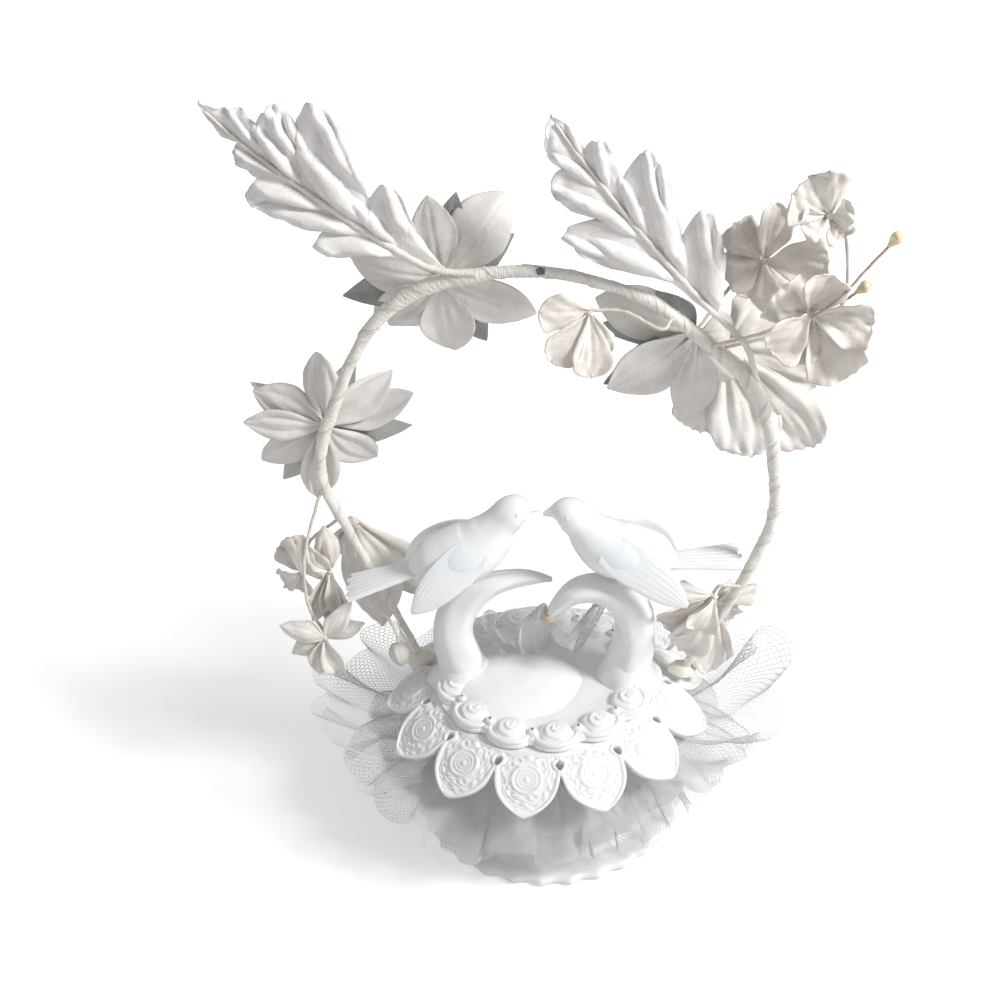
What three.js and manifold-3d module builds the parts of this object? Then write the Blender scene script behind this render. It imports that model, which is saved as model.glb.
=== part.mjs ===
// A wedding cake topper: a moulded stand with a leaf skirt, a gathered net ruffle,
// two doves on a pair of heart scrolls, and a taped wire arch that carries satin
// flowers, embossed leaves and sprays of small blossoms.
// Millimetres, +Z up. The origin is the middle of the flat underside of the foot plate.
// The doves face each other along X, and -Y is the side that the ruffle opens to.
import * as THREE from 'three';
import { mergeVertices } from 'three/addons/utils/BufferGeometryUtils.js';
import Module from 'manifold-3d';

const wasm = await Module();
wasm.setup();

// Clearances
const seatGap = 0.3;
const overrun = 1;

// Foot plate
const plateRadius = 34;
const plateThickness = 3.4;
const plateStepRadius = 27;
const plateStepHeight = 1.2;
const fluteCount = 30;
const fluteDepth = 1.1;

// Pedestal drum
const drumFootRadius = 20;
const drumTopRadius = 23.5;
const drumHeight = 30.6;

// Leaf skirt
const skirtLeafCount = 13;
const skirtDiscRadius = 27.6;
const skirtWall = 1.4;
const skirtHoleCircle = 28.6;
const skirtHoleRadius = 1.1;
const skirtLeafLength = 15.2;
const skirtLeafBreadth = 14.6;
const skirtLeafDroop = 36;
const skirtRimHeight = 0.45;

// Mound with its border of moulded roses
const moundRadius = 25.6;
const moundHollowRadius = 19.5;
const moundLipHeight = 2.2;
const moundFloorWall = 1.2;
const moundBackLength = 34;
const moundBackBreadth = 30;
const moundBackHeight = 5;
const roseCircle = 22.3;
const roseRadius = 4.3;
const roseHeight = 4.4;
const scrollPadRadius = 5.8;
const scrollPadFlare = 8.2;
const scrollPadHeight = 4.4;

// Heart scrolls
const heartHalfWidth = 21.5;
const heartHeight = 25;
const scrollStem = 4.9;

// Doves
const doveGirth = 6.9;
const doveWingWall = 1.5;
const doveWingLength = 24;
const doveWingBreadth = 12;
const doveTailLength = 20;
const doveTailBreadth = 9;
const dovePerchHeight = 8.2;
const doveMeetingGap = 0.7;

// Net ruffle and puff
const netWall = 0.55;
const ruffleReach = 61;
const ruffleRise = 45;
const ruffleUpperDrop = 3.5;
const ruffleLowerDrop = 9.3;
const ruffleLoopCount = 13;
const ruffleLoopDepth = 4.8;
const ruffleDip = 8;
const ruffleGatherCount = 26;
const ruffleGatherDepth = 0.45;
const puffWidth = 30;
const puffHeight = 17;
const puffFoldDepth = 2.6;

// Arch
const archStandOff = 24.6;
const archRise = 106;
const archWireRadius = 0.7;
const archTapeInnerRadius = 1.05;
const archTapeRadius = 1.65;
const archFootBare = 2.2;
const glueRadius = 3.1;
const glueHeight = 2.4;

// Satin flowers
const satinWall = 0.5;
const lilyPetalLength = 21;
const lilyPetalBreadth = 12.5;
const lilyHeartRadius = 2.6;
const lilyHeartDepth = 1.9;
const blossomPetalLength = 12.5;
const blossomPetalBreadth = 11;
const blossomHeartRadius = 1.6;
const blossomHeartDepth = 1.5;

// Embossed leaves
const plumeLength = 66;
const plumeBreadth = 27;
const plumeWall = 0.55;
const plumeEmboss = 3.1;
const plumeBow = 2.6;
const plumeRibRadius = 0.75;

// Stems, buds and stamens
const stemRadius = 0.6;
const budLength = 6.4;
const budRadius = 2.6;
const stamenRadius = 0.45;
const pearlLength = 3.6;
const pearlRadius = 1.35;

const degrees = Math.PI / 180;
const fullTurn = Math.PI * 2;

// Levels that follow from the sizes above
const drumFloor = plateThickness + seatGap;
const skirtFloor = drumFloor + drumHeight + seatGap;
const skirtTop = skirtFloor + skirtWall;
const moundFloor = skirtTop + seatGap;
const scrollFloor = moundFloor + scrollPadHeight + seatGap;
const archFootLevel = skirtTop;

// The arch stands clear of the outer sides of the two scrolls.
const archHalfWidth = heartHalfWidth + scrollStem + archStandOff;

const vector = (x, y, z) => new THREE.Vector3(x, y, z);

// Closed bodies

function closedBody(points, triangles) {
  const geometry = new THREE.BufferGeometry();
  const flat = points.flatMap((point) => [point.x, point.y, point.z]);
  geometry.setAttribute('position', new THREE.Float32BufferAttribute(flat, 3));
  geometry.setIndex(triangles.flat());
  return geometry;
}

function toManifold(geometry) {
  const bare = geometry.clone();
  bare.deleteAttribute('normal');
  bare.deleteAttribute('uv');
  const merged = mergeVertices(bare);
  const mesh = new wasm.Mesh({
    numProp: 3,
    vertProperties: new Float32Array(merged.attributes.position.array),
    triVerts: new Uint32Array(merged.index.array),
  });
  return new wasm.Manifold(mesh);
}

function toGeometry(solid) {
  const mesh = solid.getMesh();
  const geometry = new THREE.BufferGeometry();
  const places = new Float32Array(mesh.vertProperties);
  geometry.setAttribute('position', new THREE.BufferAttribute(places, 3));
  geometry.setIndex(new THREE.BufferAttribute(new Uint32Array(mesh.triVerts), 1));
  return geometry;
}

function join(geometries) {
  const solids = geometries.map(toManifold);
  return toGeometry(solids.reduce((whole, piece) => whole.add(piece)));
}

function cut(body, tools) {
  const solid = tools.map(toManifold).reduce((left, tool) => left.subtract(tool), toManifold(body));
  return toGeometry(solid);
}

// Rings of equal count, first to last, closed by a fan at each end.
function loft(rings) {
  const count = rings[0].length;
  const points = rings.flat();
  const triangles = [];
  for (let ring = 0; ring + 1 < rings.length; ring += 1) {
    for (let side = 0; side < count; side += 1) {
      const next = (side + 1) % count;
      const low = ring * count;
      const high = low + count;
      triangles.push([low + side, low + next, high + next], [low + side, high + next, high + side]);
    }
  }
  const endMiddle = (ring) => ring.reduce((sum, point) => sum.add(point), vector(0, 0, 0))
    .divideScalar(count);
  const first = points.length;
  points.push(endMiddle(rings[0]), endMiddle(rings[rings.length - 1]));
  const last = (rings.length - 1) * count;
  for (let side = 0; side < count; side += 1) {
    const next = (side + 1) % count;
    triangles.push([first, next, side], [first + 1, last + side, last + next]);
  }
  return closedBody(points, triangles);
}

// Even steps from a first value up to one, unless a list of stops is given.
function stopShares(stops, first) {
  if (Array.isArray(stops)) return stops;
  return Array.from({ length: stops + 1 }, (_, index) => first + ((1 - first) * index) / stops);
}

// A sheet with a wall: surface(along, across) for along 0..1 and across -1..1.
// The stops are counts of even steps, or lists of shares, and relief thickens the upper side.
function sheet(surface, alongStops, acrossStops, wall, relief = () => 0) {
  const nudge = 0.001;
  const alongShares = stopShares(alongStops, 0);
  const acrossShares = stopShares(acrossStops, -1);
  const alongSteps = alongShares.length - 1;
  const acrossSteps = acrossShares.length - 1;
  const normalAt = (along, across) => {
    const ahead = surface(Math.min(along + nudge, 1), across);
    const behind = surface(Math.max(along - nudge, 0), across);
    const right = surface(along, Math.min(across + nudge, 1));
    const left = surface(along, Math.max(across - nudge, -1));
    return ahead.sub(behind).cross(right.sub(left)).normalize();
  };
  const upper = [];
  const lower = [];
  for (let row = 0; row <= alongSteps; row += 1) {
    for (let column = 0; column <= acrossSteps; column += 1) {
      const along = alongShares[row];
      const across = acrossShares[column];
      const middle = surface(along, across);
      const normal = normalAt(along, across);
      upper.push(middle.clone().addScaledVector(normal, wall / 2 + relief(along, across)));
      lower.push(middle.clone().addScaledVector(normal, -wall / 2));
    }
  }
  const width = acrossSteps + 1;
  const below = upper.length;
  const triangles = [];
  for (let row = 0; row < alongSteps; row += 1) {
    for (let column = 0; column < acrossSteps; column += 1) {
      const a = row * width + column;
      const b = a + 1;
      const c = a + width;
      const d = c + 1;
      triangles.push([a, c, d], [a, d, b]);
      triangles.push([below + a, below + d, below + c], [below + a, below + b, below + d]);
    }
  }
  const edge = [];
  for (let column = 0; column < acrossSteps; column += 1) edge.push([column, column + 1]);
  for (let row = 0; row < alongSteps; row += 1) {
    edge.push([row * width + acrossSteps, (row + 1) * width + acrossSteps]);
  }
  for (let column = acrossSteps; column > 0; column -= 1) {
    edge.push([alongSteps * width + column, alongSteps * width + column - 1]);
  }
  for (let row = alongSteps; row > 0; row -= 1) edge.push([row * width, (row - 1) * width]);
  edge.forEach(([from, to]) => {
    triangles.push([from, to, below + to], [from, below + to, below + from]);
  });
  return closedBody([...upper, ...lower], triangles);
}

// A sheet that closes on itself round the axis: surface(turn 0..1, out 0..1).
function ringSheet(surface, turnSteps, outSteps, wall) {
  const nudge = 0.001;
  const upper = [];
  const lower = [];
  for (let step = 0; step < turnSteps; step += 1) {
    for (let ring = 0; ring <= outSteps; ring += 1) {
      const turn = step / turnSteps;
      const out = ring / outSteps;
      const middle = surface(turn, out);
      const round = surface(turn + nudge, out).sub(surface(turn - nudge, out));
      const outward = surface(turn, Math.min(out + nudge, 1)).sub(surface(turn, Math.max(out - nudge, 0)));
      const normal = outward.cross(round).normalize();
      upper.push(middle.clone().addScaledVector(normal, wall / 2));
      lower.push(middle.clone().addScaledVector(normal, -wall / 2));
    }
  }
  const width = outSteps + 1;
  const below = upper.length;
  const triangles = [];
  for (let step = 0; step < turnSteps; step += 1) {
    const here = step * width;
    const there = ((step + 1) % turnSteps) * width;
    for (let ring = 0; ring < outSteps; ring += 1) {
      const a = here + ring;
      const b = a + 1;
      const c = there + ring;
      const d = c + 1;
      triangles.push([a, b, d], [a, d, c]);
      triangles.push([below + a, below + d, below + b], [below + a, below + c, below + d]);
    }
    const outer = here + outSteps;
    const outerNext = there + outSteps;
    triangles.push([here, there, below + there], [here, below + there, below + here]);
    triangles.push([outerNext, outer, below + outer], [outerNext, below + outer, below + outerNext]);
  }
  return closedBody([...upper, ...lower], triangles);
}

function moved(geometry, origin, xAxis, yAxis, zAxis) {
  const basis = new THREE.Matrix4().makeBasis(xAxis, yAxis, zAxis);
  return geometry.clone().applyMatrix4(basis.setPosition(origin));
}

// A frame whose Z looks along facing and whose Y stays as near to up as it can.
function facingFrame(facing, up = vector(0, 0, 1)) {
  const zAxis = facing.clone().normalize();
  const xAxis = up.clone().cross(zAxis).normalize();
  const yAxis = zAxis.clone().cross(xAxis);
  return { xAxis, yAxis, zAxis };
}

function tube(curve, radius, sides, steps) {
  const section = new THREE.Shape();
  for (let side = 0; side < sides; side += 1) {
    const turn = (side / sides) * fullTurn;
    const point = [radius * Math.cos(turn), radius * Math.sin(turn)];
    if (side === 0) section.moveTo(...point);
    else section.lineTo(...point);
  }
  return new THREE.ExtrudeGeometry(section, { steps, bevelEnabled: false, extrudePath: curve });
}

// A round body along a curve, its radius given by a table of shares. Each ring starts on
// the side that lies square to both the curve and the given sideways direction.
function taperedTube(curve, radius, radiusShares, sides, steps, sideways, section = () => 1) {
  const rings = [];
  for (let step = 0; step <= steps; step += 1) {
    const share = step / steps;
    const here = radius * alongTable(radiusShares, share);
    const centre = curve.getPointAt(share);
    const tangent = curve.getTangentAt(share);
    const inner = tangent.clone().cross(sideways).normalize();
    const across = tangent.clone().cross(inner);
    const ring = [];
    for (let side = 0; side < sides; side += 1) {
      const turn = (side / sides) * fullTurn;
      const reach = here * section(turn, share);
      ring.push(centre.clone()
        .addScaledVector(inner, reach * Math.cos(turn))
        .addScaledVector(across, reach * Math.sin(turn)));
    }
    rings.push(ring);
  }
  return loft(rings);
}

function alongTable(table, share) {
  const place = Math.min(Math.max(share, 0), 1) * (table.length - 1);
  const low = Math.min(Math.floor(place), table.length - 2);
  return THREE.MathUtils.lerp(table[low], table[low + 1], place - low);
}

// Petals, leaves and flower heads

const pointedPetalShares = [0.24, 0.66, 0.94, 1, 0.76, 0.14];
const roundPetalShares = [0.2, 0.58, 0.88, 1, 0.92, 0.42];
const slimPetalShares = [0.3, 0.7, 0.92, 0.86, 0.56, 0.12];

// One petal: base at the origin, running along +X, its face towards +Z.
function petal(size) {
  const { length, breadth, lift, curl, cup, outlineShares } = size;
  const stations = 24;
  const spine = [vector(0, 0, 0)];
  for (let station = 1; station <= stations; station += 1) {
    const angle = (lift + curl * ((station - 0.5) / stations)) * degrees;
    const before = spine[station - 1];
    const stride = length / stations;
    spine.push(vector(before.x + stride * Math.cos(angle), 0, before.z + stride * Math.sin(angle)));
  }
  const surface = (along, across) => {
    const place = along * stations;
    const low = Math.min(Math.floor(place), stations - 1);
    const point = spine[low].clone().lerp(spine[low + 1], place - low);
    const half = (breadth / 2) * alongTable(outlineShares, along);
    point.y = across * half;
    point.z += cup * across * across * half;
    return point;
  };
  return sheet(surface, size.steps, 2, satinWall);
}

// A whorl of petals round a heart, all joined into one body, facing +Z. Each petal is
// given as its turn in degrees, its share of the length and its share of the breadth.
function whorl(head) {
  const heartShares = [[0, -0.5], [1, -0.36], [0.76, 0.5], [0, 0.5]];
  const heart = heartShares.map(([out, up]) => [out * head.heartRadius, up * head.heartDepth]);
  const petals = head.petalShares.map(([turn, reach, wide], index) => petal({
    length: head.length * reach,
    breadth: head.breadth * wide,
    lift: head.lift,
    curl: head.curl,
    cup: head.cup,
    outlineShares: head.outlineShares,
    steps: head.steps,
  }).translate(head.heartRadius * 0.3, 0, ((index % 3) - 1) * satinWall * 1.6).rotateZ(turn * degrees));
  return join([revolved(heart, 6), ...petals]);
}

function evenTurns(count, first = 0) {
  return Array.from({ length: count }, (_, index) => first + (360 * index) / count);
}

// Moulded stand

function circleRing(radius, level, count, reachAt = () => 1) {
  return Array.from({ length: count }, (_, step) => {
    const turn = (step / count) * fullTurn;
    const reach = radius * reachAt(turn);
    return vector(reach * Math.cos(turn), reach * Math.sin(turn), level);
  });
}

function revolved(profile, segments) {
  const points = profile.map(([radius, level]) => new THREE.Vector2(radius, level));
  return new THREE.LatheGeometry(points, segments).rotateX(Math.PI / 2);
}

function footPlate() {
  const stepsRound = fluteCount * 2;
  const fluted = (turn) => 1 - (fluteDepth / plateRadius) * (0.5 - 0.5 * Math.cos(turn * fluteCount));
  const rimTop = plateThickness - plateStepHeight;
  return loft([
    circleRing(plateRadius - fluteDepth / 2, 0, stepsRound, fluted),
    circleRing(plateRadius, rimTop * 0.6, stepsRound, fluted),
    circleRing(plateRadius - fluteDepth, rimTop, stepsRound),
    circleRing(plateStepRadius, rimTop, stepsRound),
    circleRing(plateStepRadius - plateStepHeight / 2, plateThickness, stepsRound),
  ]);
}

// The drum's outline from its flared foot to its shoulder: radius and level.
const drumOutline = [
  [drumFootRadius * 1.08, drumFloor],
  [drumFootRadius * 1.08, drumFloor + drumHeight * 0.06],
  [drumFootRadius * 0.94, drumFloor + drumHeight * 0.16],
  [drumFootRadius * 0.96, drumFloor + drumHeight * 0.55],
  [drumTopRadius, drumFloor + drumHeight * 0.88],
  [drumTopRadius, drumFloor + drumHeight],
];

function pedestalDrum() {
  return revolved([[0, drumFloor], ...drumOutline, [0, drumFloor + drumHeight]], 20);
}

function drumRadiusAt(level) {
  const next = drumOutline.findIndex(([, place]) => place >= level);
  const [lowRadius, low] = drumOutline[next - 1];
  const [highRadius, high] = drumOutline[next];
  return THREE.MathUtils.mapLinear(level, low, high, lowRadius, highRadius);
}

const skirtPitch = 360 / skirtLeafCount;
const skirtFirstLeaf = -73;
const skirtOutlineShares = [0.8, 0.93, 1, 1, 0.96, 0.88, 0.74, 0.5, 0.05];
const skirtRimShare = 0.82;

// Height lost and reach gained along a leaf that bends down from level to its full droop.
function skirtLeafPlace(along) {
  const stations = 12;
  const place = { reach: skirtDiscRadius - skirtWall, drop: 0 };
  const stride = (skirtLeafLength * along) / stations;
  for (let station = 0; station < stations; station += 1) {
    const share = (along * (station + 0.5)) / stations;
    const slope = skirtLeafDroop * Math.min(1, 0.25 + share * 1.6) * degrees;
    place.reach += stride * Math.cos(slope);
    place.drop += stride * Math.sin(slope);
  }
  return place;
}

function skirtLeafPoint(along, across) {
  const { reach, drop } = skirtLeafPlace(along);
  const half = (skirtLeafBreadth / 2) * alongTable(skirtOutlineShares, along);
  const crown = skirtWall * 0.5 * across * across;
  return vector(reach, across * half, skirtTop - skirtWall / 2 - drop - crown);
}

function leafSkirt() {
  const alongShares = [0, 0.5, 0.8, 1];
  const acrossShares = [-1, -0.8, 0.8, 1];
  const rim = (along, across) => (Math.abs(across) > skirtRimShare ? skirtRimHeight : 0);
  const leaf = sheet(skirtLeafPoint, alongShares, acrossShares, skirtWall, rim);
  const disc = revolved([
    [0, skirtFloor],
    [skirtDiscRadius, skirtFloor],
    [skirtDiscRadius, skirtTop],
    [0, skirtTop],
  ], skirtLeafCount * 2);
  const leaves = evenTurns(skirtLeafCount, skirtFirstLeaf)
    .map((turn) => leaf.clone().rotateZ(turn * degrees));
  const hole = new THREE.CylinderGeometry(skirtHoleRadius, skirtHoleRadius, skirtLeafLength, 4)
    .rotateX(Math.PI / 2)
    .translate(skirtHoleCircle, 0, skirtTop);
  const holes = evenTurns(skirtLeafCount, skirtFirstLeaf + skirtPitch / 2)
    .map((turn) => hole.clone().rotateZ(turn * degrees));
  return cut(join([disc, ...leaves]), holes);
}

// The places where the two heart scrolls stand, as shares of the heart's half width.
const scrollFootShares = { left: [-0.93, 0.07], right: [0.93, -0.05] };

function scrollFoot(side) {
  const [xShare, yShare] = scrollFootShares[side];
  return vector(xShare * heartHalfWidth, yShare * heartHalfWidth, 0);
}

function roseMound() {
  const lip = moundFloor + moundLipHeight;
  const ring = revolved([
    [0, moundFloor],
    [moundRadius, moundFloor],
    [moundRadius, moundFloor + moundLipHeight * 0.6],
    [roseCircle, lip],
    [moundHollowRadius, moundFloor + moundFloorWall],
    [0, moundFloor + moundFloorWall],
  ], 26);
  const roseProfileShares = [[0, 0], [1, 0], [0.96, 0.6], [0.5, 0.86], [0, 1.04]];
  const rose = revolved(roseProfileShares.map(([out, up]) => [out * roseRadius, up * roseHeight]), 6)
    .translate(roseCircle, 0, moundFloor);
  const roses = evenTurns(skirtLeafCount, skirtFirstLeaf + skirtPitch / 2)
    .map((turn) => rose.clone().rotateZ(turn * degrees));
  const pads = ['left', 'right'].map((side) => {
    const foot = scrollFoot(side);
    return revolved([
      [0, moundFloor],
      [scrollPadFlare, moundFloor],
      [scrollPadFlare * 0.82, moundFloor + scrollPadHeight * 0.45],
      [scrollPadRadius, moundFloor + scrollPadHeight],
      [0, moundFloor + scrollPadHeight],
    ], 12).translate(foot.x, foot.y, 0);
  });
  const back = new THREE.SphereGeometry(1, 14, 6)
    .rotateX(Math.PI / 2)
    .scale(moundBackLength / 2, moundBackBreadth / 2, moundBackHeight)
    .translate(-heartHalfWidth * 0.36, -moundBackBreadth * 0.1, moundFloor);
  const below = new THREE.BoxGeometry(moundRadius * 4, moundRadius * 4, moundRadius)
    .translate(0, 0, moundFloor - moundRadius / 2);
  return cut(join([ring, back, ...pads, ...roses]), [below]);
}

// Heart scrolls

const scrollRouteShares = {
  left: [
    [-0.92, 0.07, -0.06], [-0.95, 0.07, 0.06], [-1.01, 0.06, 0.3], [-0.99, 0.05, 0.55],
    [-0.86, 0.05, 0.78], [-0.6, 0.05, 0.95], [-0.3, 0.06, 1.01], [-0.05, 0.06, 1.0], [0.1, 0.07, 0.96],
  ],
  right: [
    [0.92, -0.05, -0.06], [0.95, -0.05, 0.06], [1.0, -0.07, 0.34], [0.98, -0.09, 0.6],
    [0.84, -0.12, 0.84], [0.6, -0.15, 0.98], [0.34, -0.16, 0.97], [0.14, -0.16, 0.82], [0, -0.15, 0.62],
  ],
};
const scrollGirthShares = {
  left: [1.12, 1.05, 1, 0.95, 0.86, 0.74, 0.6, 0.42, 0.14],
  right: [1.12, 1.05, 1, 0.96, 0.9, 0.82, 0.72, 0.52, 0.16],
};

function scrollCurve(side) {
  const points = scrollRouteShares[side].map(([x, y, z]) => vector(
    x * heartHalfWidth,
    y * heartHalfWidth,
    scrollFloor + z * heartHeight,
  ));
  return new THREE.CatmullRomCurve3(points);
}

// The section is round at the foot and hollows into a channel on the inner side of the curl.
function scroll(side, growth = 0) {
  const inward = side === 'left' ? 0 : Math.PI;
  const hollowed = (turn, share) => {
    const facingIn = Math.max(0, Math.cos(turn - inward));
    const depth = 0.62 * THREE.MathUtils.smoothstep(share, 0.35, 0.75);
    return 1 - depth * facingIn ** 1.5;
  };
  const whole = taperedTube(
    scrollCurve(side),
    scrollStem + growth,
    scrollGirthShares[side],
    10,
    15,
    vector(0, 1, 0),
    hollowed,
  );
  const below = new THREE.BoxGeometry(heartHalfWidth * 4, heartHalfWidth * 2, heartHeight)
    .translate(0, 0, scrollFloor - growth - heartHeight / 2);
  return cut(whole, [below]);
}

// Doves

// Along the body from rump to beak: [x, z, half width, half height] as shares of the girth.
const doveBodyShares = [
  [-1.75, -0.52, 0.3, 0.22], [-1.5, -0.4, 0.55, 0.45], [-1.0, -0.16, 0.84, 0.8], [-0.3, 0, 1, 0.98],
  [0.4, 0.24, 0.96, 1], [0.95, 0.72, 0.74, 0.84], [1.35, 1.22, 0.56, 0.62], [1.72, 1.6, 0.56, 0.58],
  [2.05, 1.72, 0.46, 0.44], [2.32, 1.72, 0.2, 0.2], [2.62, 1.64, 0.06, 0.06],
];

function doveBody() {
  const spine = new THREE.CatmullRomCurve3(doveBodyShares.map(([x, z]) => vector(x, 0, z)));
  const rings = doveBodyShares.map(([x, z, wide, high], station) => {
    const tangent = spine.getTangent(station / (doveBodyShares.length - 1));
    const rise = vector(-tangent.z, 0, tangent.x);
    return Array.from({ length: 10 }, (_, side) => {
      const turn = (side / 10) * fullTurn;
      return vector(x, 0, z)
        .add(vector(0, wide * Math.cos(turn), 0))
        .addScaledVector(rise, high * Math.sin(turn))
        .multiplyScalar(doveGirth);
    });
  });
  return loft(rings);
}

// How each wing lies, near or far: run back, spread outwards and sink, as shares of the
// distance along it. How each tail lies: its length share and its slope.
const doveWingLieShares = { near: [0.7, 0.13, 0.56], far: [0.86, 0.3, 0.34] };
const doveTailLieShares = { left: [0.87, -0.5], right: [0.86, 0.02] };

function doveWing(side, lie) {
  const [run, spreading, sinking] = doveWingLieShares[lie];
  const outlineShares = [0.5, 0.86, 1, 0.96, 0.8, 0.55, 0.12];
  const shoulder = vector(doveGirth * 0.72, side * doveGirth * 0.62, doveGirth * 0.62);
  const surface = (along, across) => {
    const half = (doveWingBreadth / 2) * alongTable(outlineShares, along);
    const back = doveWingLength * along;
    const spread = side * (spreading * back + doveWingWall * 0.5 * Math.sin(along * 3));
    const sink = back * (sinking + 0.25 * along) + across * half * 0.8;
    return vector(shoulder.x - back * run - across * half * 0.3, shoulder.y + spread, shoulder.z - sink);
  };
  const faced = side > 0 ? surface : (along, across) => surface(along, -across);
  return sheet(faced, 5, 3, doveWingWall);
}

function doveTail(side) {
  const [lengthShare, slope] = doveTailLieShares[side];
  const outlineShares = [0.6, 0.7, 0.84, 1];
  const surface = (along, across) => {
    const half = (doveTailBreadth / 2) * alongTable(outlineShares, along);
    const ridge = doveWingWall * 0.16 * Math.cos(across * 12);
    const jagged = along > 0.99 ? doveWingWall * 0.3 * Math.cos(across * 12) : 0;
    const back = doveTailLength * lengthShare * along + jagged;
    return vector(-doveGirth * 1.42 - back, across * half, -doveGirth * 0.42 + back * slope + ridge);
  };
  return sheet((along, across) => surface(along, -across), 2, 8, doveWingWall);
}

// A dove stands over its scroll, its beak a little short of the middle, with a moulded
// foot that ends just above the scroll.
function dove(side) {
  const towards = side === 'left' ? 1 : -1;
  const beakReach = doveGirth * 2.62;
  const perch = scrollFloor + heartHeight + dovePerchHeight;
  const foot = revolved([
    [0, -dovePerchHeight], [doveGirth * 0.34, -dovePerchHeight],
    [doveGirth * 0.42, -doveGirth * 0.5], [0, -doveGirth * 0.5],
  ], 8);
  const bird = join([
    doveBody(),
    doveWing(towards, towards > 0 ? 'far' : 'near'),
    doveWing(-towards, towards > 0 ? 'near' : 'far'),
    doveTail(side),
    foot,
  ]);
  const depth = heartHalfWidth * (side === 'left' ? 0.0 : -0.1);
  const origin = vector(-towards * (beakReach + doveMeetingGap / 2), depth, perch);
  const placed = moved(bird, origin, vector(towards, 0, 0), vector(0, towards, 0), vector(0, 0, 1));
  return cut(placed, [scroll(side, seatGap)]);
}

// Gathered net

// Each tier's free edge: [degrees round the drum, share of the reach, share of the rise].
// The net is pulled out farthest at the two sides.
const ruffleTiers = {
  upper: {
    neckLevel: skirtFloor - ruffleUpperDrop,
    loopSteps: 5,
    depthShare: 1,
    dipShare: 1,
    phase: 0.4,
    edgeShares: [
      [-90, 0.62, 0.31], [-56, 0.61, 0.4], [-38, 0.69, 0.49], [-16, 0.9, 0.56], [0, 1, 0.84],
      [12, 0.89, 0.9], [35, 0.82, 0.72], [60, 0.74, 0.57], [90, 0.7, 0.49], [120, 0.74, 0.55],
      [150, 0.87, 0.68], [168, 0.97, 0.7], [188, 0.94, 0.8], [215, 0.82, 0.56], [233, 0.79, 0.42],
      [245, 0.69, 0.33], [270, 0.62, 0.31],
    ],
  },
  lower: {
    neckLevel: skirtFloor - ruffleLowerDrop,
    loopSteps: 4,
    depthShare: 0.6,
    dipShare: 0.2,
    phase: 2.1,
    edgeShares: [
      [-90, 0.56, 0.18], [-60, 0.59, 0.2], [-22, 0.67, 0.18], [0, 0.9, 0.24], [25, 0.77, 0.34],
      [60, 0.66, 0.27], [90, 0.62, 0.22], [130, 0.69, 0.29], [165, 0.82, 0.34], [180, 0.87, 0.31],
      [199, 0.77, 0.34], [225, 0.66, 0.27], [250, 0.59, 0.2], [270, 0.56, 0.18],
    ],
  },
};

function ruffleEdge(edgeShares, around) {
  const next = Math.max(1, edgeShares.findIndex(([place]) => place >= around));
  const low = edgeShares[next - 1];
  const high = edgeShares[next];
  const share = (around - low[0]) / (high[0] - low[0]);
  return {
    reach: ruffleReach * THREE.MathUtils.lerp(low[1], high[1], share),
    level: ruffleRise * THREE.MathUtils.lerp(low[2], high[2], share),
  };
}

// The net leaves its gathered neck, dips below the leaf skirt and opens into loops that
// hang over the crossings between them.
function rufflePoint(tier, turn, out) {
  const around = (((turn % 1) + 1) % 1) * 360 - 90;
  const angle = around * degrees;
  const edge = ruffleEdge(tier.edgeShares, around);
  const beat = ruffleLoopCount * angle + 1.4 * Math.sin(2 * angle + tier.phase) + tier.phase;
  const side = Math.abs(Math.cos(angle)) ** 1.4;
  const vigour = (0.75 + 0.3 * Math.sin(3 * angle + 2 * tier.phase)) * (0.5 + 0.5 * side);
  const growth = vigour * out ** 1.7;
  const neck = drumRadiusAt(tier.neckLevel) + seatGap + netWall / 2 + ruffleGatherDepth;
  const gather = ruffleGatherDepth * Math.sin(ruffleGatherCount * angle) * (1 - out) ** 2;
  const lobe = 1 - 0.12 * out * Math.cos(beat) ** 2;
  const radius = neck + gather + (edge.reach - neck) * out * lobe;
  const dip = ruffleDip * tier.dipShare * (0.7 + 0.3 * side) * Math.sin(Math.PI * out ** 0.8);
  const swing = ruffleLoopDepth * tier.depthShare * growth * Math.sin(beat);
  const level = THREE.MathUtils.lerp(tier.neckLevel, edge.level, out ** 2.1) - dip + swing;
  const folded = angle - 0.055 * growth * Math.sin(2 * beat);
  return vector(radius * Math.cos(folded), radius * Math.sin(folded), level);
}

function ruffle(tier) {
  const around = ruffleLoopCount * tier.loopSteps;
  return ringSheet((turn, out) => rufflePoint(tier, turn, out), around, 3, netWall);
}

function netPuff() {
  const surface = (along, across) => {
    const x = across * (puffWidth / 2) * (0.62 + 0.38 * Math.sin(along * 2.6));
    const fold = Math.sin(across * 8.5 + along * 2) * (0.35 + 0.65 * along);
    const y = heartHalfWidth * 0.36 + puffFoldDepth * fold;
    const crest = puffHeight * (0.78 + 0.22 * Math.cos(across * 6.2));
    return vector(x, y, moundFloor + moundBackHeight * 0.85 + seatGap + along * crest);
  };
  return sheet((along, across) => surface(along, -across), 4, 18, netWall);
}

// Wire arch and its paper tape

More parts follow.
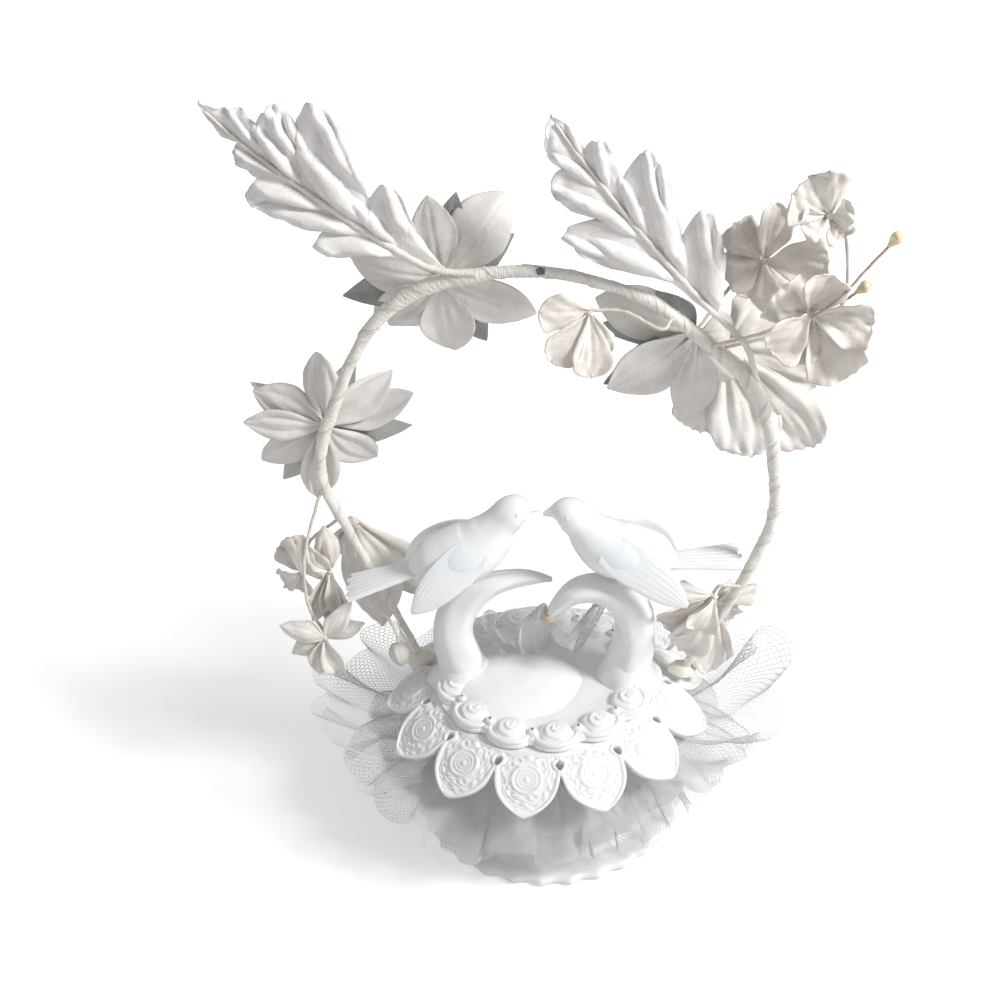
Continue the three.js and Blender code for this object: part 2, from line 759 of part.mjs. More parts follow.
// From the left foot over the top to the right foot: [x, y, z], x and y as shares of the
// half width and z as a share of the rise.
const archRouteShares = [
  [-0.6, 0.2, 0.002], [-0.66, 0.185, 0.09], [-0.755, 0.165, 0.22], [-0.89, 0.15, 0.4],
  [-0.97, 0.14, 0.52], [-0.95, 0.135, 0.62], [-0.87, 0.125, 0.715], [-0.785, 0.115, 0.81],
  [-0.655, 0.1, 0.905], [-0.47, 0.08, 0.97], [-0.255, 0.055, 1.0], [0.02, 0.025, 1.008],
  [0.255, 0, 0.985], [0.47, -0.025, 0.945], [0.665, -0.045, 0.87], [0.845, -0.065, 0.79],
  [0.94, -0.08, 0.715], [1.0, -0.085, 0.61], [1.02, -0.085, 0.45], [0.92, -0.075, 0.3],
  [0.785, -0.045, 0.15], [0.7, -0.015, 0.06], [0.655, 0.01, -0.005],
];
const archTapeShares = [
  0.85, 0.9, 0.95, 1, 1, 1, 0.9, 0.85, 1.2, 1.35, 1.1,
  0.95, 0.95, 1.15, 1.4, 1.4, 1.2, 1.05, 1, 0.95, 0.9, 0.85,
];
const archCurve = new THREE.CatmullRomCurve3(archRouteShares.map(([x, y, z]) => vector(
  x * archHalfWidth,
  y * archHalfWidth,
  archFootLevel + z * archRise,
)));
const archLength = archCurve.getLength();
const archSteps = 34;
const archSides = 5;

function archStretch(from, to) {
  const stretch = new THREE.Curve();
  stretch.getPoint = (share, target = vector(0, 0, 0)) => target.copy(
    archCurve.getPointAt(THREE.MathUtils.lerp(from, to, share)),
  );
  return stretch;
}

function tapeRadiusAt(share) {
  return archTapeRadius * alongTable(archTapeShares, share);
}

function archTape() {
  const bareShare = archFootBare / archLength;
  const stretch = archStretch(bareShare, 1 - bareShare);
  const outer = taperedTube(stretch, archTapeRadius, archTapeShares, 6, archSteps, vector(0, 1, 0));
  return cut(outer, [tube(archCurve, archTapeInnerRadius, archSides, archSteps)]);
}

// A dried drop of glue on two neighbouring leaves, round the bare end of the wire.
function footGlue(share) {
  const wireEnd = archCurve.getPointAt(share);
  const drop = revolved([
    [0, 0], [1, 0], [0.94, 0.36], [0.62, 0.84], [0, 1],
  ].map(([out, up]) => [out * glueRadius, up * glueHeight]), 8)
    .translate(wireEnd.x, wireEnd.y, skirtTop + seatGap);
  return cut(drop, [tube(archCurve, archTapeRadius + seatGap, 6, archSteps)]);
}

// Flower heads

const lilyKind = {
  length: lilyPetalLength,
  breadth: lilyPetalBreadth,
  heartRadius: lilyHeartRadius,
  heartDepth: lilyHeartDepth,
  lift: -6,
  curl: -16,
  cup: 0.16,
  outlineShares: pointedPetalShares,
  steps: 3,
};
const netKind = { ...lilyKind, lift: -4, curl: -14, cup: 0.1, outlineShares: slimPetalShares, steps: 2 };
const blossomKind = {
  length: blossomPetalLength,
  breadth: blossomPetalBreadth,
  heartRadius: blossomHeartRadius,
  heartDepth: blossomHeartDepth,
  lift: 6,
  curl: 10,
  cup: 0.16,
  outlineShares: roundPetalShares,
  steps: 3,
};

// Each head's place is given as shares of the arch's half width (twice) and of its rise.
const towardsViewer = [0, -1, 0];
const heads = {
  lily_left_petals: {
    kind: lilyKind,
    placeShares: [-0.378, 0.14, 0.977],
    petalShares: [
      [97, 0.79, 0.8], [46, 1.05, 1.08], [-29, 1.09, 0.88], [-87, 0.93, 0.96],
      [-129, 1, 0.96], [-149, 0.99, 0.64], [171, 0.93, 0.84],
    ],
  },
  lily_left_net: {
    kind: netKind,
    placeShares: [-0.38, 0.222, 0.965],
    petalShares: [
      [77, 0.83, 0.72], [20, 0.82, 0.72], [-59, 0.9, 0.72],
      [-124, 0.56, 0.64], [-171, 1.03, 0.72],
    ],
  },
  lily_side_petals: {
    kind: lilyKind,
    placeShares: [-0.936, 0.188, 0.648],
    petalShares: [
      [88, 0.78, 0.68], [149, 0.8, 0.76], [175, 0.83, 0.64], [-146, 0.93, 0.76], [-102, 1, 0.72],
      [-54, 0.81, 0.72], [10, 0.96, 0.72], [33, 0.9, 0.72],
    ],
  },
  lily_side_net: {
    kind: netKind,
    placeShares: [-0.944, 0.244, 0.634],
    petalShares: [[66, 0.78, 0.52], [147, 0.87, 0.56], [-15, 0.94, 0.64], [-123, 0.97, 0.56]],
  },
  drop_blossom: {
    kind: blossomKind,
    placeShares: [0.217, -0.067, 0.934],
    petalShares: [[164, 0.9, 0.91], [-134, 0.99, 0.82], [-90, 1, 0.91], [-70, 0.77, 0.64]],
  },
  lily_right_petals: {
    kind: lilyKind,
    placeShares: [0.661, 0.029, 0.86],
    petalShares: [
      [164, 1.04, 1.04], [-145, 1.04, 1], [-114, 0.76, 0.56],
      [-87, 1.03, 0.8], [-55, 0.97, 0.96], [2, 0.4, 0.72],
    ],
  },
  lily_right_net: {
    kind: netKind,
    placeShares: [0.67, 0.09, 0.845],
    petalShares: [[180, 1.01, 0.64], [-152, 1.03, 0.68], [127, 0.62, 0.64]],
  },
  broad_petals: {
    kind: { ...lilyKind, lift: 4, curl: -10, outlineShares: roundPetalShares },
    placeShares: [0.822, 0.18, 0.792],
    petalShares: [
      [-104, 1.05, 1.36], [-79, 1.24, 1.28], [-48, 1.57, 1.12],
      [-24, 1.13, 1.36], [47, 0.62, 1.04],
    ],
  },
  spray_blossom_top: {
    kind: blossomKind,
    placeShares: [1.143, -0.118, 1.122],
    petalShares: [
      [144, 0.88, 1.14], [97, 0.92, 0.82], [5, 0.36, 0.64],
      [-168, 0.51, 0.73], [-62, 0.41, 0.64],
    ],
  },
  spray_blossom_middle: {
    kind: blossomKind,
    placeShares: [0.935, 0.045, 1.005],
    petalShares: [
      [134, 0.89, 0.82], [82, 1.03, 0.77], [9, 1.03, 1.27],
      [-141, 0.71, 1.18], [-78, 0.92, 0.82],
    ],
  },
  spray_blossom_front: {
    kind: blossomKind,
    placeShares: [1.079, -0.196, 0.944],
    petalShares: [
      [151, 0.86, 1.18], [75, 0.81, 1], [-8, 0.99, 1.09], [-61, 1.34, 1.27],
      [-100, 0.85, 0.82], [-144, 0.85, 1],
    ],
  },
  cluster_left_blossom: {
    kind: { ...blossomKind, lift: -6, curl: -16 },
    placeShares: [-1.123, 0.167, 0.273],
    petalShares: [
      [142, 0.65, 0.73], [-162, 0.52, 0.73], [92, 0.79, 0.64],
      [-108, 0.66, 0.82], [31, 0.54, 0.82],
    ],
  },
  cluster_left_star: {
    kind: { ...blossomKind, outlineShares: pointedPetalShares },
    placeShares: [-1.026, -0.02, 0.155],
    facing: [-0.1, -1, 0.2],
    petalShares: [
      [-149, 0.74, 0.82], [-103, 0.77, 0.82], [-64, 0.81, 0.82],
      [16, 0.73, 0.73], [57, 0.87, 0.73], [160, 0.82, 0.82],
    ],
  },
  cluster_left_bell: {
    kind: { ...blossomKind, lift: 4, curl: 0, outlineShares: slimPetalShares },
    placeShares: [-0.979, 0.1, 0.297],
    petalShares: [
      [-111, 1.26, 0.73], [-97, 1.3, 0.73], [-81, 1.13, 0.73], [96, 0.9, 0.8], [124, 0.72, 0.64],
    ],
  },
  cluster_left_leaves: {
    kind: { ...lilyKind, lift: -14, curl: -2 },
    placeShares: [-0.869, 0.21, 0.391],
    petalShares: [[-105, 0.85, 0.64], [-90, 0.76, 0.64], [-79, 1.76, 1.2], [-66, 1.8, 1.12]],
  },
  cluster_right_trumpet: {
    kind: { ...blossomKind, lift: 4, curl: -6 },
    placeShares: [0.775, -0.108, 0.252],
    petalShares: [[-143, 1.24, 0.91], [-117, 1.41, 1], [-122, 0.74, 0.82], [-179, 0.89, 0.64]],
  },
  cluster_right_petals: {
    kind: { ...blossomKind, lift: -4, curl: -8 },
    placeShares: [0.792, 0.018, 0.188],
    petalShares: [[-49, 0.74, 0.82], [-85, 1.6, 1], [-96, 1.66, 0.82], [24, 0.61, 0.82], [28, 0.91, 0.73]],
  },
};

function byArch([x, y, z]) {
  return vector(x * archHalfWidth, y * archHalfWidth, archFootLevel + z * archRise);
}

function flowerHead(name) {
  const { kind, placeShares, petalShares, facing = towardsViewer } = heads[name];
  const { xAxis, yAxis, zAxis } = facingFrame(vector(...facing));
  return moved(whorl({ ...kind, petalShares }), byArch(placeShares), xAxis, yAxis, zAxis);
}

// Embossed leaves

// Edge tables: [place of the vein's root along the midrib, reach as a share of the breadth].
const plumes = {
  plume_left: {
    baseShares: [-0.36, 0.045, 1.018],
    heading: 141.4,
    upperShares: [
      [0, 0.03], [0.1, 0.22], [0.154, 0.62], [0.2, 0.35], [0.27, 0.62], [0.34, 0.71], [0.42, 0.52],
      [0.49, 0.83], [0.56, 0.41], [0.68, 0.55], [0.75, 0.24], [0.81, 0.31], [1, 0.02],
    ],
    lowerShares: [
      [0, 0.03], [0.17, 0.03], [0.27, 0.2], [0.38, 0.25], [0.42, 0.07], [0.56, 0.28], [0.65, 0.26],
      [0.7, 0.05], [0.81, 0.06], [0.9, 0.03], [1, 0.02],
    ],
    sagShare: 0.105,
    lengthShare: 0.883,
    embossShare: 1,
    tailShares: [],
    joins: [0.456, [0, -1, 0.5]],
  },
  plume_right: {
    baseShares: [0.733, -0.059, 0.921],
    heading: 128.2,
    upperShares: [
      [0, 0.16], [0.06, 0.63], [0.12, 0.73], [0.18, 0.63], [0.22, 0.4], [0.27, 0.56], [0.37, 0.63],
      [0.51, 0.65], [0.57, 0.25], [0.72, 0.37], [0.78, 0.17], [0.86, 0.19], [1, 0.02],
    ],
    lowerShares: [
      [0, 0.04], [0.2, 0.03], [0.26, 0.05], [0.32, 0.34], [0.41, 0.47], [0.5, 0.45], [0.55, 0.08],
      [0.6, 0.24], [0.72, 0.28], [0.8, 0.11], [0.93, 0.11], [1, 0.02],
    ],
    sagShare: 0.045,
    lengthShare: 0.815,
    embossShare: 0.65,
    tailShares: [[0.845, -0.1, 0.862]],
    joins: [0.69, [1, -0.2, 0.6]],
  },
};
const plumeSweep = 35 * degrees;

function pairTable(pairs, share) {
  const next = Math.max(1, pairs.findIndex(([place]) => place >= share));
  const [lowPlace, lowValue] = pairs[next - 1];
  const [highPlace, highValue] = pairs[next];
  return THREE.MathUtils.mapLinear(share, lowPlace, highPlace, lowValue, highValue);
}

// Where the die's grooves start: the ends of an edge table and every notch in it.
function notchShares(edgeShares) {
  const notches = edgeShares.slice(1, -1).filter(([, reach], index) => (
    reach < edgeShares[index][1] && reach <= edgeShares[index + 2][1]
  ));
  return [0, ...notches.map(([place]) => place), 1];
}

// Height of the pressed lobes: each swells between two grooves and sinks to the midrib.
function plumeHeight(design, edgeShares, along, out, reach) {
  const notches = notchShares(edgeShares);
  const next = Math.max(1, notches.findIndex((place) => place >= along));
  const width = notches[next] - notches[next - 1];
  const phase = (along - notches[next - 1]) / width;
  const swell = Math.sin(Math.PI * phase ** 0.8) ** 0.55 * Math.sin(Math.PI * out ** 0.75) ** 0.6;
  const broad = THREE.MathUtils.clamp(width / 0.16, 0.35, 1.1);
  const full = THREE.MathUtils.clamp(reach / (plumeBreadth * 0.26), 0.2, 1.15);
  return plumeEmboss * design.embossShare * swell * broad * full;
}

// A point of the blade: veins sweep forward from the midrib, which sags a little to one side.
function plumePoint(design, along, across, lengthwise) {
  const edgeShares = across > 0 ? design.lowerShares : design.upperShares;
  const out = Math.min(Math.abs(across), 1);
  const reach = out * pairTable(edgeShares, along) * plumeBreadth;
  const sag = plumeBreadth * design.sagShare * Math.abs(Math.sin(Math.PI * along)) ** 0.4;
  return vector(
    along * lengthwise + reach * Math.sin(plumeSweep),
    Math.sign(across) * reach * Math.cos(plumeSweep) + sag,
    plumeHeight(design, edgeShares, along, out, reach) - plumeBow * along * along,
  );
}

// Leaf frame: +X along the midrib, +Z towards the viewer's side.
function plumeFrame(design) {
  const heading = design.heading * degrees;
  const xAxis = vector(Math.cos(heading), 0, Math.sin(heading));
  const zAxis = vector(0, -1, 0);
  const yAxis = zAxis.clone().cross(xAxis);
  return { origin: byArch(design.baseShares), xAxis, yAxis, zAxis };
}

function plume(name) {
  const design = plumes[name];
  const lengthwise = plumeLength * design.lengthShare;
  const places = [...design.upperShares, ...design.lowerShares].map(([place]) => place);
  const alongShares = [...new Set(places)].sort((a, b) => a - b);
  const acrossShares = [-1, -0.6, 0, 0.6, 1];
  const blade = sheet(
    (along, across) => plumePoint(design, along, across, lengthwise),
    alongShares,
    acrossShares,
    plumeWall,
  );
  const { origin, xAxis, yAxis, zAxis } = plumeFrame(design);
  return moved(blade, origin, xAxis, yAxis, zAxis);
}

function plumeRibRoute(name) {
  const design = plumes[name];
  const lengthwise = plumeLength * design.lengthShare;
  const { origin, xAxis, yAxis, zAxis } = plumeFrame(design);
  const basis = new THREE.Matrix4().makeBasis(xAxis, yAxis, zAxis).setPosition(origin);
  const stand = plumeWall / 2 + seatGap * 2 + plumeRibRadius;
  const onBlade = [0.97, 0.8, 0.6, 0.4, 0.2, 0.04].map((along) => {
    const point = plumePoint(design, along, 0, lengthwise);
    point.z += stand;
    return point.applyMatrix4(basis);
  });
  const [share, away] = design.joins;
  return [...onBlade, ...design.tailShares.map(byArch), besideTape(share, away, plumeRibRadius)];
}

// Stems

// A point beside the taped arch where a stem of the given radius rests clear of the tape.
function besideTape(share, [x, y, z], radius) {
  const away = vector(x, y, z);
  const tangent = archCurve.getTangentAt(share);
  away.addScaledVector(tangent, -away.dot(tangent)).normalize();
  return archCurve.getPointAt(share).addScaledVector(away, tapeRadiusAt(share) + seatGap + radius);
}

function wireStem(points, radius, steps = 6) {
  return tube(new THREE.CatmullRomCurve3(points), radius, 5, steps);
}

// The place just behind a head's heart where its stem starts.
function headBack(name) {
  const { placeShares, kind, facing = towardsViewer } = heads[name];
  const backwards = vector(...facing).normalize().negate();
  return byArch(placeShares).addScaledVector(backwards, kind.heartDepth / 2 + seatGap + stemRadius * 1.5);
}

const stemRoutes = {
  spray_stem_top: {
    head: 'spray_blossom_top',
    throughShares: [[1.2, -0.09, 1.1], [1.24, -0.08, 1.02], [1.22, -0.1, 0.93], [1.02, -0.08, 0.88]],
    joins: [0.655, [0.6, 0.5, 1]],
  },
  spray_stem_middle: {
    head: 'spray_blossom_middle',
    throughShares: [[0.9, 0.105, 0.985], [0.8, 0.07, 0.945]],
    joins: [0.63, [0.3, 1, 0.9]],
  },
  spray_stem_front: {
    head: 'spray_blossom_front',
    throughShares: [[1.02, -0.15, 0.92], [0.9, -0.17, 0.9]],
    joins: [0.645, [0.3, -1, 0.3]],
  },
  cluster_left_stem_long: {
    head: 'cluster_left_star',
    throughShares: [[-1.15, 0.04, 0.24], [-1.14, 0.08, 0.36]],
    joins: [0.2, [-1, 0, 0]],
  },
  drop_blossom_stem: {
    head: 'drop_blossom',
    throughShares: [[0.36, -0.02, 0.925], [0.5, -0.09, 0.9]],
    joins: [0.607, [0, -1, -0.3]],
  },
  cluster_left_stem_back: {
    head: 'cluster_left_blossom',
    throughShares: [[-1.08, 0.22, 0.34]],
    joins: [0.168, [-1, 0.4, 0]],
  },
  cluster_right_stem: {
    head: 'cluster_right_trumpet',
    throughShares: [[0.8, -0.1, 0.28]],
    joins: [0.885, [-0.4, -1, 0.2]],
  },
};

function headStem(name) {
  const { head, throughShares, joins } = stemRoutes[name];
  const [share, away] = joins;
  return wireStem([
    headBack(head),
    ...throughShares.map(byArch),
    besideTape(share, away, stemRadius),
  ], stemRadius);
}

function stamen(routeShares) {
  const points = routeShares.map(byArch);
  const tip = points[points.length - 1];
  const before = points[points.length - 2];
  const heading = tip.clone().sub(before).normalize();
  const { xAxis, yAxis, zAxis } = facingFrame(heading);
  const pearl = revolved([
    [0, -0.5], [0.34, -0.46], [0.62, -0.2], [0.96, 0.14], [0.9, 0.36], [0.5, 0.5], [0, 0.54],
  ].map(([out, up]) => [out * pearlRadius, up * pearlLength]), 6);
  return {
    thread: wireStem(points, stamenRadius, 6),
    pearl: moved(
      pearl,
      tip.clone().addScaledVector(heading, pearlLength / 2 + seatGap),
      xAxis,
      yAxis,
      zAxis,
    ),
  };
}

const stamenRouteShares = {
  stamen_long: [[1.079, -0.236, 0.944], [1.17, -0.275, 0.99], [1.27, -0.25, 1.04], [1.345, -0.255, 1.085]],
  stamen_short: [[1.16, -0.12, 0.935], [1.23, -0.13, 0.953], [1.27, -0.14, 0.97]],
};

// A closed bud hanging from its own stem, which is tied to the tape higher up.
const buds = {
  cluster_left_bud: {
    placeShares: [-0.69, 0.05, 0.075],
    throughShares: [[-0.71, 0.06, 0.15], [-0.78, 0.08, 0.22]],
    joins: [0.115, [0, -1, 0]],
  },
};

function bud(name) {
  const body = revolved([
    [0, -0.5], [0.42, -0.46], [0.86, -0.2], [1, 0.06], [0.8, 0.34], [0.36, 0.48], [0, 0.5],
  ].map(([out, up]) => [out * budRadius, up * budLength]), 7);
  const place = byArch(buds[name].placeShares);
  return body.translate(place.x, place.y, place.z);
}

function budStem(name) {
  const { placeShares, throughShares, joins } = buds[name];
  const [share, away] = joins;
  const top = byArch(placeShares);
  top.z += budLength / 2 + seatGap;
  return wireStem([top, ...throughShares.map(byArch), besideTape(share, away, stemRadius)], stemRadius);
}

// Assembly

const mouldedPlastic = { color: 0xf7f7f5, roughness: 0.35, metalness: 0 };
const doveGloss = { color: 0xfdfdfd, roughness: 0.2, metalness: 0 };
const satinWhite = { color: 0xf1eff0, roughness: 0.6, metalness: 0 };
const satinCream = { color: 0xe6e3dc, roughness: 0.65, metalness: 0 };
const sheerGrey = { color: 0xb9beb6, roughness: 0.8, metalness: 0 };
const netWhite = { color: 0xf4f6f7, roughness: 0.8, metalness: 0 };
const paperTape = { color: 0xe3e0d8, roughness: 0.85, metalness: 0 };
const steelWire = { color: 0x8f8b84, roughness: 0.5, metalness: 0.8 };
const oldGlue = { color: 0xe6dcc0, roughness: 0.4, metalness: 0 };
const pearlCream = { color: 0xe9d9a4, roughness: 0.3, metalness: 0 };

const topper = new THREE.Group();
topper.name = 'wedding_cake_topper';

function add(name, geometry, look) {
  const material = new THREE.MeshStandardMaterial(look);
  material.name = name;
  const mesh = new THREE.Mesh(geometry, material);
  mesh.name = name;
  topper.add(mesh);
}

add('foot_plate', footPlate(), mouldedPlastic);
add('pedestal_drum', pedestalDrum(), mouldedPlastic);
add('leaf_skirt', leafSkirt(), mouldedPlastic);
add('rose_mound', roseMound(), mouldedPlastic);
add('scroll_left', scroll('left'), mouldedPlastic);
add('scroll_right', scroll('right'), mouldedPlastic);
add('dove_left', dove('left'), doveGloss);
add('dove_right', dove('right'), doveGloss);
add('net_ruffle_upper', ruffle(ruffleTiers.upper), netWhite);
add('net_ruffle_lower', ruffle(ruffleTiers.lower), netWhite);
add('net_puff', netPuff(), netWhite);
add('arch_wire', tube(archCurve, archWireRadius, archSides, archSteps), steelWire);
add('arch_tape', archTape(), paperTape);
add('glue_left', footGlue(0), oldGlue);
add('glue_right', footGlue(1), oldGlue);

Object.entries(heads).forEach(([name, { kind }]) => {
  add(name, flowerHead(name), kind === netKind ? sheerGrey : satinWhite);
});
Object.keys(plumes).forEach((name) => {
  add(name, plume(name), satinWhite);
  add(`${name}_rib`, wireStem(plumeRibRoute(name), plumeRibRadius), paperTape);
});
Object.keys(stemRoutes).forEach((name) => add(name, headStem(name), paperTape));
Object.entries(stamenRouteShares).forEach(([name, route]) => {
  const { thread, pearl } = stamen(route);
  add(name, thread, paperTape);
  add(`${name}_pearl`, pearl, pearlCream);
});
Object.keys(buds).forEach((name) => {
  add(name, bud(name), satinCream);
  add(`${name}_stem`, budStem(name), paperTape);
});

export default topper;
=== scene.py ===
# %% [markdown]
# # A wedding cake topper in white satin, net and moulded plastic
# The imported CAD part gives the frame: metres, +Z up, the origin in the middle of the foot
# plate's underside. Each step below makes one group of pieces finer than the CAD has them
# and lets it stand for its CAD nodes. Shapes are written in millimetres and scaled once,
# when their mesh is made.

# %% Load the frame
import math

import bpy
import numpy as np
from mathutils import Matrix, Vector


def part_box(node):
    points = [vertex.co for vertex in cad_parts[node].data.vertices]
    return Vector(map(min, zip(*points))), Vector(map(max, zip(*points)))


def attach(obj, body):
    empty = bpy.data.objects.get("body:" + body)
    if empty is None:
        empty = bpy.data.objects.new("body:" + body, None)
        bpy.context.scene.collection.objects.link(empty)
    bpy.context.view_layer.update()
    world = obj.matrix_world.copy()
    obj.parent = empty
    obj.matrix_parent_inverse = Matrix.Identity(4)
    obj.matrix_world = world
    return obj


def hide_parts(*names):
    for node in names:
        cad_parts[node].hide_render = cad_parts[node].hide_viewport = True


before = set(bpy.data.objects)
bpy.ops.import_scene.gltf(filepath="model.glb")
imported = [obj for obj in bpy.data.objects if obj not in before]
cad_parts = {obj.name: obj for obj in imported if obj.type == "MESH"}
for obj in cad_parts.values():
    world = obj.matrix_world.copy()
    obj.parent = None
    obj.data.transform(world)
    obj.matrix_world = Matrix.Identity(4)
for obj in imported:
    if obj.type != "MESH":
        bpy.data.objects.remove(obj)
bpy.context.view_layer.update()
MM = 0.001
TURN = 2 * math.pi
TINY = 1e-12
print("CAD nodes:", len(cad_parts))

# %% [markdown]
# ## Camera
# The piece was seen from above and in front, with the camera turned a few degrees. A
# pinhole camera is fully given by its place, its tilt, its roll and its focal length, so
# the four are named here and nothing is aimed by hand.

# %% Camera
camera_place = (-9.2, -272.4, 260.8)
camera_tilt = math.radians(32.31)
camera_roll = math.radians(2.6)
focal_share = 1.43
sensor = 36.0
near_clip = 0.01


def camera_axes(tilt, roll):
    """Rows: right, up and backwards of a camera that looks along +Y and down by its tilt."""
    level = np.array([1.0, 0.0, 0.0])
    raised = np.array([0.0, math.sin(tilt), math.cos(tilt)])
    right = level * math.cos(roll) - raised * math.sin(roll)
    up = level * math.sin(roll) + raised * math.cos(roll)
    return np.stack([right, up, np.cross(right, up)])


def add_object(name, data):
    item = bpy.data.objects.new(name, data)
    bpy.context.scene.collection.objects.link(item)
    return item


def stand(item, axes, place):
    """Put a lamp or a camera at a place in metres, in a frame whose axes are the rows given."""
    matrix = np.eye(4)
    matrix[:3, :3] = axes.T
    matrix[:3, 3] = place
    item.matrix_world = Matrix(matrix.tolist())


def place_camera():
    data = bpy.data.cameras.new("studio_camera")
    data.sensor_width = sensor
    data.lens = sensor * focal_share
    data.clip_start = near_clip
    camera = add_object("studio_camera", data)
    stand(camera, camera_axes(camera_tilt, camera_roll), np.array(camera_place) * MM)
    bpy.context.scene.camera = camera


place_camera()
print("lens mm:", round(bpy.context.scene.camera.data.lens, 2))

# %% [markdown]
# ## Meshes from rows of points
# Petals, net and feathers are all sheets, and stems and scrolls are all tubes. So two
# helpers carry most of the work: `shell` gives a sheet of points a wall, and `tube` runs a
# closed ring of points along a path. A `Part` collects their points until the mesh is made.

# %% Part
class Part:
    """Points, faces and cloth coordinates that become one mesh."""

    def __init__(self):
        self.points, self.uvs, self.quads, self.tris = [], [], [], []
        self.count = 0

    def add(self, points, quads=(), tris=(), uv=None):
        points = np.asarray(points, float).reshape(-1, 3)
        uv = points[:, :2] if uv is None else np.asarray(uv, float).reshape(-1, 2)
        self.points.append(points)
        self.uvs.append(uv)
        if len(quads):
            self.quads.append(np.asarray(quads) + self.count)
        if len(tris):
            self.tris.append(np.asarray(tris) + self.count)
        self.count += len(points)
        return self

    def join(self, *others):
        for other in others:
            quads = np.concatenate(other.quads) if other.quads else ()
            tris = np.concatenate(other.tris) if other.tris else ()
            self.add(np.concatenate(other.points), quads, tris, np.concatenate(other.uvs))
        return self

    def moved(self, origin, axes=np.eye(3)):
        """The same part in a frame whose axes are the rows given."""
        copy = Part().join(self)
        copy.points = [copy.points[0] @ np.asarray(axes, float) + np.asarray(origin, float)]
        return copy


print("parts ready")

# %% From a part to a piece
def mesh_from(name, part, material):
    points = np.concatenate(part.points) * MM
    uvs = np.concatenate(part.uvs)
    blocks = [np.concatenate(faces) for faces in (part.quads, part.tris) if faces]
    corners = np.concatenate([block.ravel() for block in blocks])
    sizes = np.concatenate([np.full(len(block), block.shape[1]) for block in blocks])
    starts = np.concatenate([[0], np.cumsum(sizes)[:-1]])
    mesh = bpy.data.meshes.new(name)
    mesh.vertices.add(len(points))
    mesh.vertices.foreach_set("co", points.ravel())
    mesh.loops.add(len(corners))
    mesh.loops.foreach_set("vertex_index", corners.astype(np.int32))
    mesh.polygons.add(len(sizes))
    mesh.polygons.foreach_set("loop_start", starts.astype(np.int32))
    mesh.update(calc_edges=True)
    cloth = mesh.uv_layers.new(name="cloth")
    cloth.data.foreach_set("uv", uvs[corners].ravel())
    mesh.validate()
    mesh.polygons.foreach_set("use_smooth", [True] * len(mesh.polygons))
    mesh.materials.append(material)
    return mesh


def settle(piece, slot, *nodes):
    """Everything is glued together, so a piece rides on the one body."""
    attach(piece, "root")
    if nodes:
        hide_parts(*nodes)
    return piece


def make(name, part, material, slot, *nodes, sharp=None):
    """The finished piece, which stands for its CAD nodes."""
    mesh = mesh_from(name, part, material)
    if sharp:
        mesh.set_sharp_from_angle(angle=math.radians(sharp))
    return settle(add_object(name, mesh), slot, *nodes)


def triangles(piece):
    return sum(len(face.vertices) - 2 for face in piece.data.polygons)


print("pieces can be made")

# %% Directions, lengths and curves
def unit(vectors):
    """The same directions, each one long."""
    return vectors / np.maximum(np.linalg.norm(vectors, axis=-1, keepdims=True), TINY)


def run_of(path):
    """The length travelled at each point of a path."""
    return np.concatenate([[0], np.cumsum(np.linalg.norm(np.diff(path, axis=0), axis=1))])


def turns(sides):
    """The angles of a ring's corners."""
    return np.linspace(0, TURN, sides, endpoint=False)


def grid(*columns):
    """Numbers that vary along, across or both ways, stacked as the points of one grid."""
    return np.stack(np.broadcast_arrays(*columns), -1)


def fade(value, start, span):
    """0 before the start, rising evenly to 1 over the span."""
    return np.clip((value - start) / span, 0, 1)


def curve_through(points, samples):
    """A smooth path through the points, evenly spaced along its length."""
    given = np.asarray(points, float)
    given = np.concatenate([2 * given[:1] - given[1:2], given, 2 * given[-1:] - given[-2:-1]])
    step = np.linspace(0, 1, 24, endpoint=False)[:, None]
    stretches = []
    for a, b, c, d in zip(given[:-3], given[1:-2], given[2:-1], given[3:]):
        bend = (2 * a - 5 * b + 4 * c - d) * step ** 2 + (3 * b - a - 3 * c + d) * step ** 3
        stretches.append(0.5 * (2 * b + (c - a) * step + bend))
    fine = np.concatenate(stretches + [given[-2:-1]])
    run = run_of(fine)
    want = np.linspace(0, run[-1], samples)
    return np.stack([np.interp(want, run, column) for column in fine.T], 1)


def read_table(values, share):
    """A table of values read at a share of its length, along a smooth curve."""
    places = np.linspace(0, 1, len(values))
    fine = curve_through(np.stack([places, np.asarray(values, float)], 1), 400)
    return np.interp(share, fine[:, 0], fine[:, 1])


def axes_for(facing):
    """Rows x, y, z of a frame whose z looks along facing and whose x lies level."""
    z = unit(np.asarray(facing, float))
    x = unit(np.cross((0.0, 0.0, 1.0), z))
    return np.stack([x, np.cross(z, x), z])


print("curve helpers ready")

# %% Sheets with a wall
def grid_quads(rows, columns, base=0, flip=False):
    corner = (np.arange(rows - 1)[:, None] * columns + np.arange(columns - 1)[None, :]).ravel() + base
    quads = np.stack([corner, corner + columns, corner + columns + 1, corner + 1], 1)
    return quads[:, ::-1] if flip else quads


